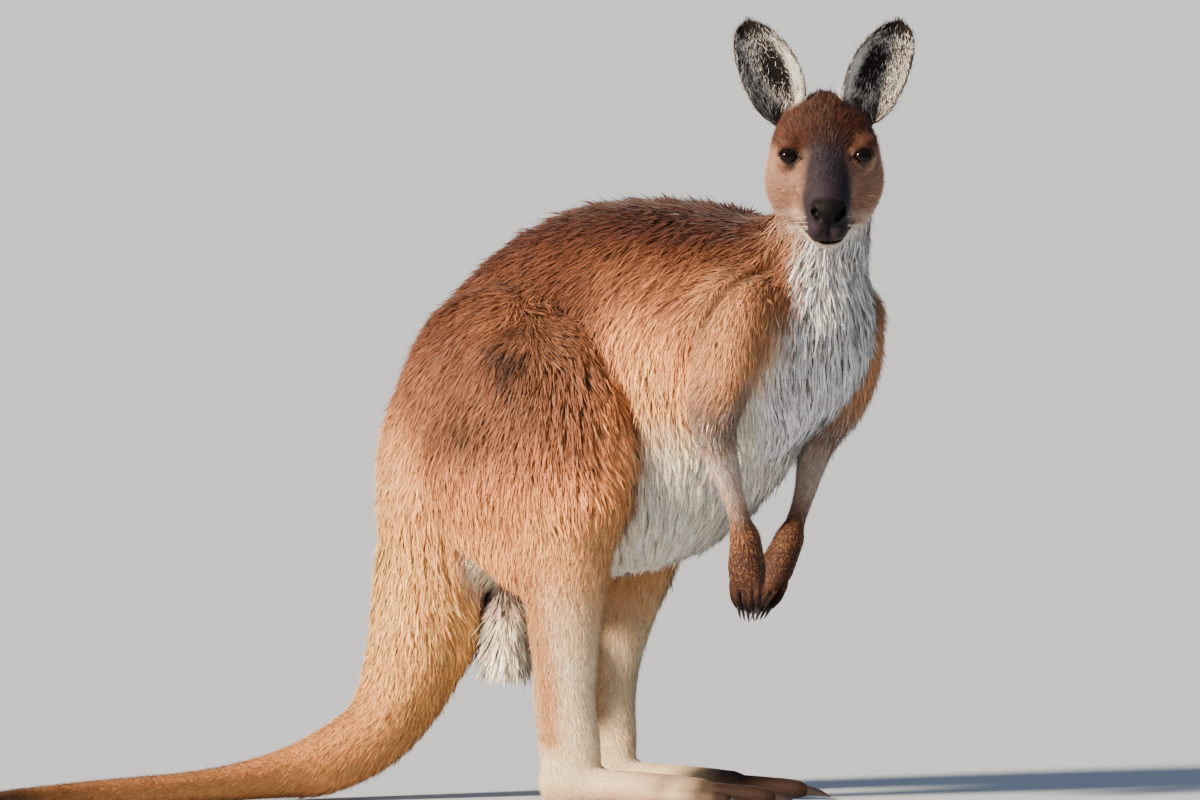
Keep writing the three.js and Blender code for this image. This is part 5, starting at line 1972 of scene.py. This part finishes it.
@dataclass
class Whiskers:
    """Long stiff hairs on the lips, over the eyes and on the lids."""

    body: Body
    guide: Guide
    sides: int = 5
    rings: int = 7
    thickness: float = 1.0
    lines: list[tuple[Array, Array, Array]] = field(default_factory=list)

    def hair(self, near: Array, lean: Array, length: float, radius: float, tint: Array) -> None:
        """Adds the line of one hair.

        Args:
            near: a place in the head's frame, which the hair's root is set nearest to.
            lean: the way it leans, added to the skin's own normal.
            length: its length in millimetres.
            radius: its radius at the root.
            tint: its linear colour.
        """
        q = self.body.head.local(self.guide.at)
        at = int(np.argmin(((q - near) ** 2).sum(1)))
        way = unit((self.guide.normal[at] @ HEAD_PLACE[1]) * 0.7 + lean)
        t = np.linspace(0, 1, self.rings)[:, None]
        line = q[at] + way * length * t + np.array([-0.25, 0, -0.35]) * length * t**2 * 0.5
        self.lines.append((line, radius * (1 - 0.85 * t[:, 0]), np.tile(tint, (self.rings, 1))))

    def place(self) -> None:
        """Adds the lines of all the hairs."""
        rng = np.random.default_rng(SEED + 5)
        pale, black = linear("#D8CFC6"), linear("#14100E")
        for s in (1, -1):
            for row, z in enumerate((-50, -56, -62)):
                for step in range(3):
                    near = np.array([94 - 6.5 * step - 2 * row, s * 23, z]) + rng.normal(0, 1.0, 3)
                    lean = np.array([-0.5 + rng.normal(0, 0.15), s * 0.5, rng.normal(-0.05, 0.15)])
                    self.hair(near, lean, rng.uniform(20, 46), 0.2, pale if rng.random() < 0.7 else black)
            for step in range(3):
                near = np.array([8.0, s * (38 + 3 * step), 26.0])
                self.hair(near, np.array([0.2, s * 0.3, 0.5]), rng.uniform(16, 24), 0.22, black)
        for o in self.body.head.openings:
            for share in np.linspace(-0.75, 0.9, 18):
                turn = share * (o.out_reach if share > 0 else o.in_reach)
                _, high = o.edges(np.array([turn]))
                flat = math.cos(turn) * o.ahead + math.sin(turn) * o.out
                spot = math.cos(high[0]) * flat + math.sin(high[0]) * o.up
                lean = flat * 0.7 + o.out * 0.35 * share - o.up * 0.1
                self.hair(o.at + spot * (EYE_RADIUS + LID + 0.2), lean, rng.uniform(4.5, 7.0), 0.22, black)

    def build(self, shift: Shift, material: bpy.types.Material) -> bpy.types.Object:
        """Makes all of them in one mesh.

        Args:
            shift: what takes them to the part's frame.
            material: their finish.

        Returns:
            The piece.
        """
        self.place()
        points, radius, colour = (np.concatenate(v) for v in zip(*self.lines))
        mesh = bpy.data.meshes.new("whisker_lines")
        number = np.arange(len(points)).reshape(-1, self.rings)
        edges = np.stack([number[:, :-1], number[:, 1:]], -1).reshape(-1, 2)
        mesh.from_pydata(shift(points @ HEAD_PLACE[1].T + HEAD_PLACE[0]).tolist(), edges.tolist(), [])
        mesh.attributes.new("radius", "FLOAT", "POINT").data.foreach_set("value", (radius / 1000).astype(np.float32))
        colour_points(mesh, colour)
        hairs = bpy.data.objects.new("whiskers_and_lashes", mesh)
        bpy.context.scene.collection.objects.link(hairs)
        grown = hairs.modifiers.new("hairs", "NODES")
        grown.node_group = hair_tree(material)
        sockets = {item.name: item.identifier for item in grown.node_group.interface.items_tree}
        grown[sockets["Sides"]], grown[sockets["Thickness"]] = self.sides, self.thickness
        plain = bpy.data.meshes.new_from_object(hairs.evaluated_get(bpy.context.evaluated_depsgraph_get()))
        hairs.modifiers.remove(grown)
        hairs.data = plain
        return hairs


@dataclass(frozen=True)
class Studio:
    """The floor, the light and the camera."""

    azimuth: float = 16.0  # of the camera, degrees
    distance: float = 6000.0  # from the point between the ankles
    height: float = 385.0
    focal: float = 5217.0  # in pixels of a view this wide
    width: int = 1200
    above: float = 65.0  # how far the horizon lies below the view's middle, pixels
    beside: float = 7.0  # how far the middle lies right of the ankles, pixels
    floor: str = "#BFC8D2"
    sky: str = "#FEFCF8"
    fill: str = "#B9C9E2"
    key: str = "#FFEBD2"

    def axes(self) -> tuple[Array, Array]:
        """Returns the camera's right and forward directions along the floor."""
        a = math.radians(self.azimuth)
        return np.array([math.cos(a), math.sin(a), 0]), np.array([-math.sin(a), math.cos(a), 0])

    def build(self, shift: Shift) -> None:
        """Adds the floor, the lights and the camera."""
        self._floor()
        self._world()
        self._sun(power=12.8, around=-60, up=25, soft=9)
        self._camera(shift)

    def _floor(self) -> None:
        """Lays a plain pale floor, 80 m square, that takes a soft shadow and no gleam."""
        size = 40.0
        corners = np.array([(-size, -size, 0), (size, -size, 0), (size, size, 0), (-size, size, 0)])
        floor = to_mesh("floor", corners, np.array([[0, 1, 2, 3]]))
        material = bpy.data.materials.new("pale matt floor")
        material.use_nodes = True
        shader = material.node_tree.nodes["Principled BSDF"]
        shader.inputs["Base Color"].default_value = (*linear(self.floor), 1)
        shader.inputs["Roughness"].default_value = 0.95
        shader.inputs["Specular IOR Level"].default_value = 0.1
        floor.data.materials.append(material)

    def _world(self) -> None:
        """Sets a faint even light all round, seen by the camera as a pale backdrop."""
        world = bpy.data.worlds.new("studio")
        bpy.context.scene.world = world
        world.use_nodes = True
        tree = world.node_tree
        light = tree.nodes["Background"]
        light.inputs[0].default_value = (*linear(self.fill), 1)
        light.inputs[1].default_value = 0.46
        seen = add_node(tree, "ShaderNodeBackground", Color=(*linear(self.sky), 1), Strength=1.0)
        path = tree.nodes.new("ShaderNodeLightPath")
        both = add_node(tree, "ShaderNodeMixShader", _0=path.outputs["Is Camera Ray"], _1=light.outputs[0],
                        _2=seen.outputs[0])
        out = next(node for node in tree.nodes if node.type == "OUTPUT_WORLD")
        tree.links.new(both.outputs[0], out.inputs[0])

    def _sun(self, power: float, around: float, up: float, soft: float) -> None:
        """Adds the main light.

        Args:
            power: its strength.
            around: degrees from behind the camera, toward its right.
            up: degrees over the floor.
            soft: degrees across, which soften its shadows.
        """
        right, ahead = self.axes()
        a, e = math.radians(around), math.radians(up)
        toward = (-ahead * math.cos(a) + right * math.sin(a)) * math.cos(e) + np.array([0, 0, math.sin(e)])
        data = bpy.data.lights.new("key", "SUN")
        data.energy, data.angle, data.color = power, math.radians(soft), linear(self.key)
        lamp = bpy.data.objects.new("key", data)
        lamp.location = Vector(toward * 4)
        lamp.rotation_euler = Vector(-toward).to_track_quat("-Z", "Y").to_euler()
        bpy.context.scene.collection.objects.link(lamp)

    def _camera(self, shift: Shift) -> None:
        """Sets the camera, turned a little so that the model lies left of the middle."""
        right, ahead = self.axes()
        data = bpy.data.cameras.new("camera")
        data.lens, data.sensor_width = self.focal / self.width * 36, 36
        camera = bpy.data.objects.new("camera", data)
        camera.location = shift(-self.distance * ahead + np.array([0, 0, self.height]))
        pitch, yaw = math.atan(self.above / self.focal), math.atan(self.beside / self.focal)
        look = (ahead * math.cos(yaw) + right * math.sin(yaw)) * math.cos(pitch) + np.array([0, 0, math.sin(pitch)])
        camera.rotation_euler = Vector(look).to_track_quat("-Z", "Y").to_euler()
        bpy.context.scene.collection.objects.link(camera)
        bpy.context.scene.camera = camera


# Each finish takes its colour from the painted attribute and gives the eye what its comment says.
HAIR = {
    # long rough kangaroo hair: dull, with a soft glow along the edges and dark and light flecks
    Pelt.TAWNY: Finish("coarse tawny guard hair", 0.62, 0.22, 2.5, 0.0, 0.07),
    # short hair lying flat: a little smoother, its flecks as fine as the face's hair
    Pelt.FACE: Finish("short face hair", 0.60, 0.22, 1.6, 0.0, 0.06),
    # soft underfur: the dullest and the softest at its edges
    Pelt.PALE: Finish("soft pale belly hair", 0.66, 0.20, 2.5, 0.0, 0.09),
    # dark and white hairs mixed: fine flecks
    Pelt.GREY: Finish("fine grizzled hair", 0.64, 0.22, 1.8, 0.0, 0.07),
    # short stiff hair, which shines most
    Pelt.DARK: Finish("short dark hand hair", 0.56, 0.24, 1.4, 0.0, 0.05),
    # long loose hair in locks: dull, with broad soft flecks
    Pelt.CREAM: Finish("long cream hair", 0.66, 0.20, 3.0, 0.0, 0.09),
}
SKIN = Finish("skin under short hair", 0.65, 0.14, 1.2, 0.35)  # leathery: dull, with fine pores in relief
WET = Finish("wet eye", 0.04, 0.22, 3.0, 0.0)  # a film of tears: one small sharp gleam
HORN = Finish("claw horn", 0.32, 0.5, 1.5, 0.05)  # worn keratin: half glossy, faintly scratched
BRISTLE = Finish("stiff bristle", 0.4, 0.5, 3.0, 0.0)  # smooth thick hair: a thin gleam along it


def told(piece: bpy.types.Object) -> None:
    """Reports a finished piece."""
    log.info("%s: %d faces, %s", piece.name, len(piece.data.polygons), piece.data.materials[0].name)


def main() -> None:
    """Builds the skin, the coat, the eyes, the claws, the whiskers and the studio."""
    logging.basicConfig(level=logging.INFO, format="%(message)s")
    shift = Shift.found()
    scale = 1.0
    body = Body()
    axes = [
        spaced([(-612, 6), (-140, 4.2), (172, 1.5), (245, 1.7)], 402, scale),
        spaced([(-548, 6), (-296, 1.7), (-125, 1.5), (-14, 4.2)], 196, scale),
        spaced([(0, 2.6), (60, 5), (205, 2.2), (300, 5), (618, 1.7)], 884, scale),
    ]
    mesher = Mesher(body, axes)
    points, quads = mesher.make()
    _, slope = mesher.gradient(points)
    coat = Coat(body)
    guide = coat.guide(points, unit(slope))
    # the skin takes the coat's colours, a fifth darker as painted shade under the hair
    skin = to_mesh("skin", shift(points), quads, guide.colour * 0.8)
    thin(skin, Fur.most)
    skin.data.materials.append(SKIN.material())
    flesh = [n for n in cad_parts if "eye" not in n and "claw" not in n]
    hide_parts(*flesh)
    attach(skin, "root")
    told(skin)
    made = {pelt: finish.material() for pelt, finish in HAIR.items()}
    fur = Fur(coat, shift, guide, quads, 1.0)
    for piece, pelt in fur.grow():
        piece.data.materials.append(made[pelt])
        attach(piece, "root")
        told(piece)
    glass = WET.material()
    for o, name in zip(body.head.openings, ("eye_left", "eye_right")):
        eye = Eye(o).build(name + "_ball", shift)
        eye.data.materials.append(glass)
        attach(eye, "root")
        told(eye)
    horn = HORN.material()
    for claw in claws():
        piece = claw.build(shift)
        piece.data.materials.append(horn)
        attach(piece, "root")
        told(piece)
    whiskers = Whiskers(body, guide).build(shift, BRISTLE.material())
    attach(whiskers, "root")
    told(whiskers)
    Studio().build(shift)


if __name__ == "__main__":
    main()
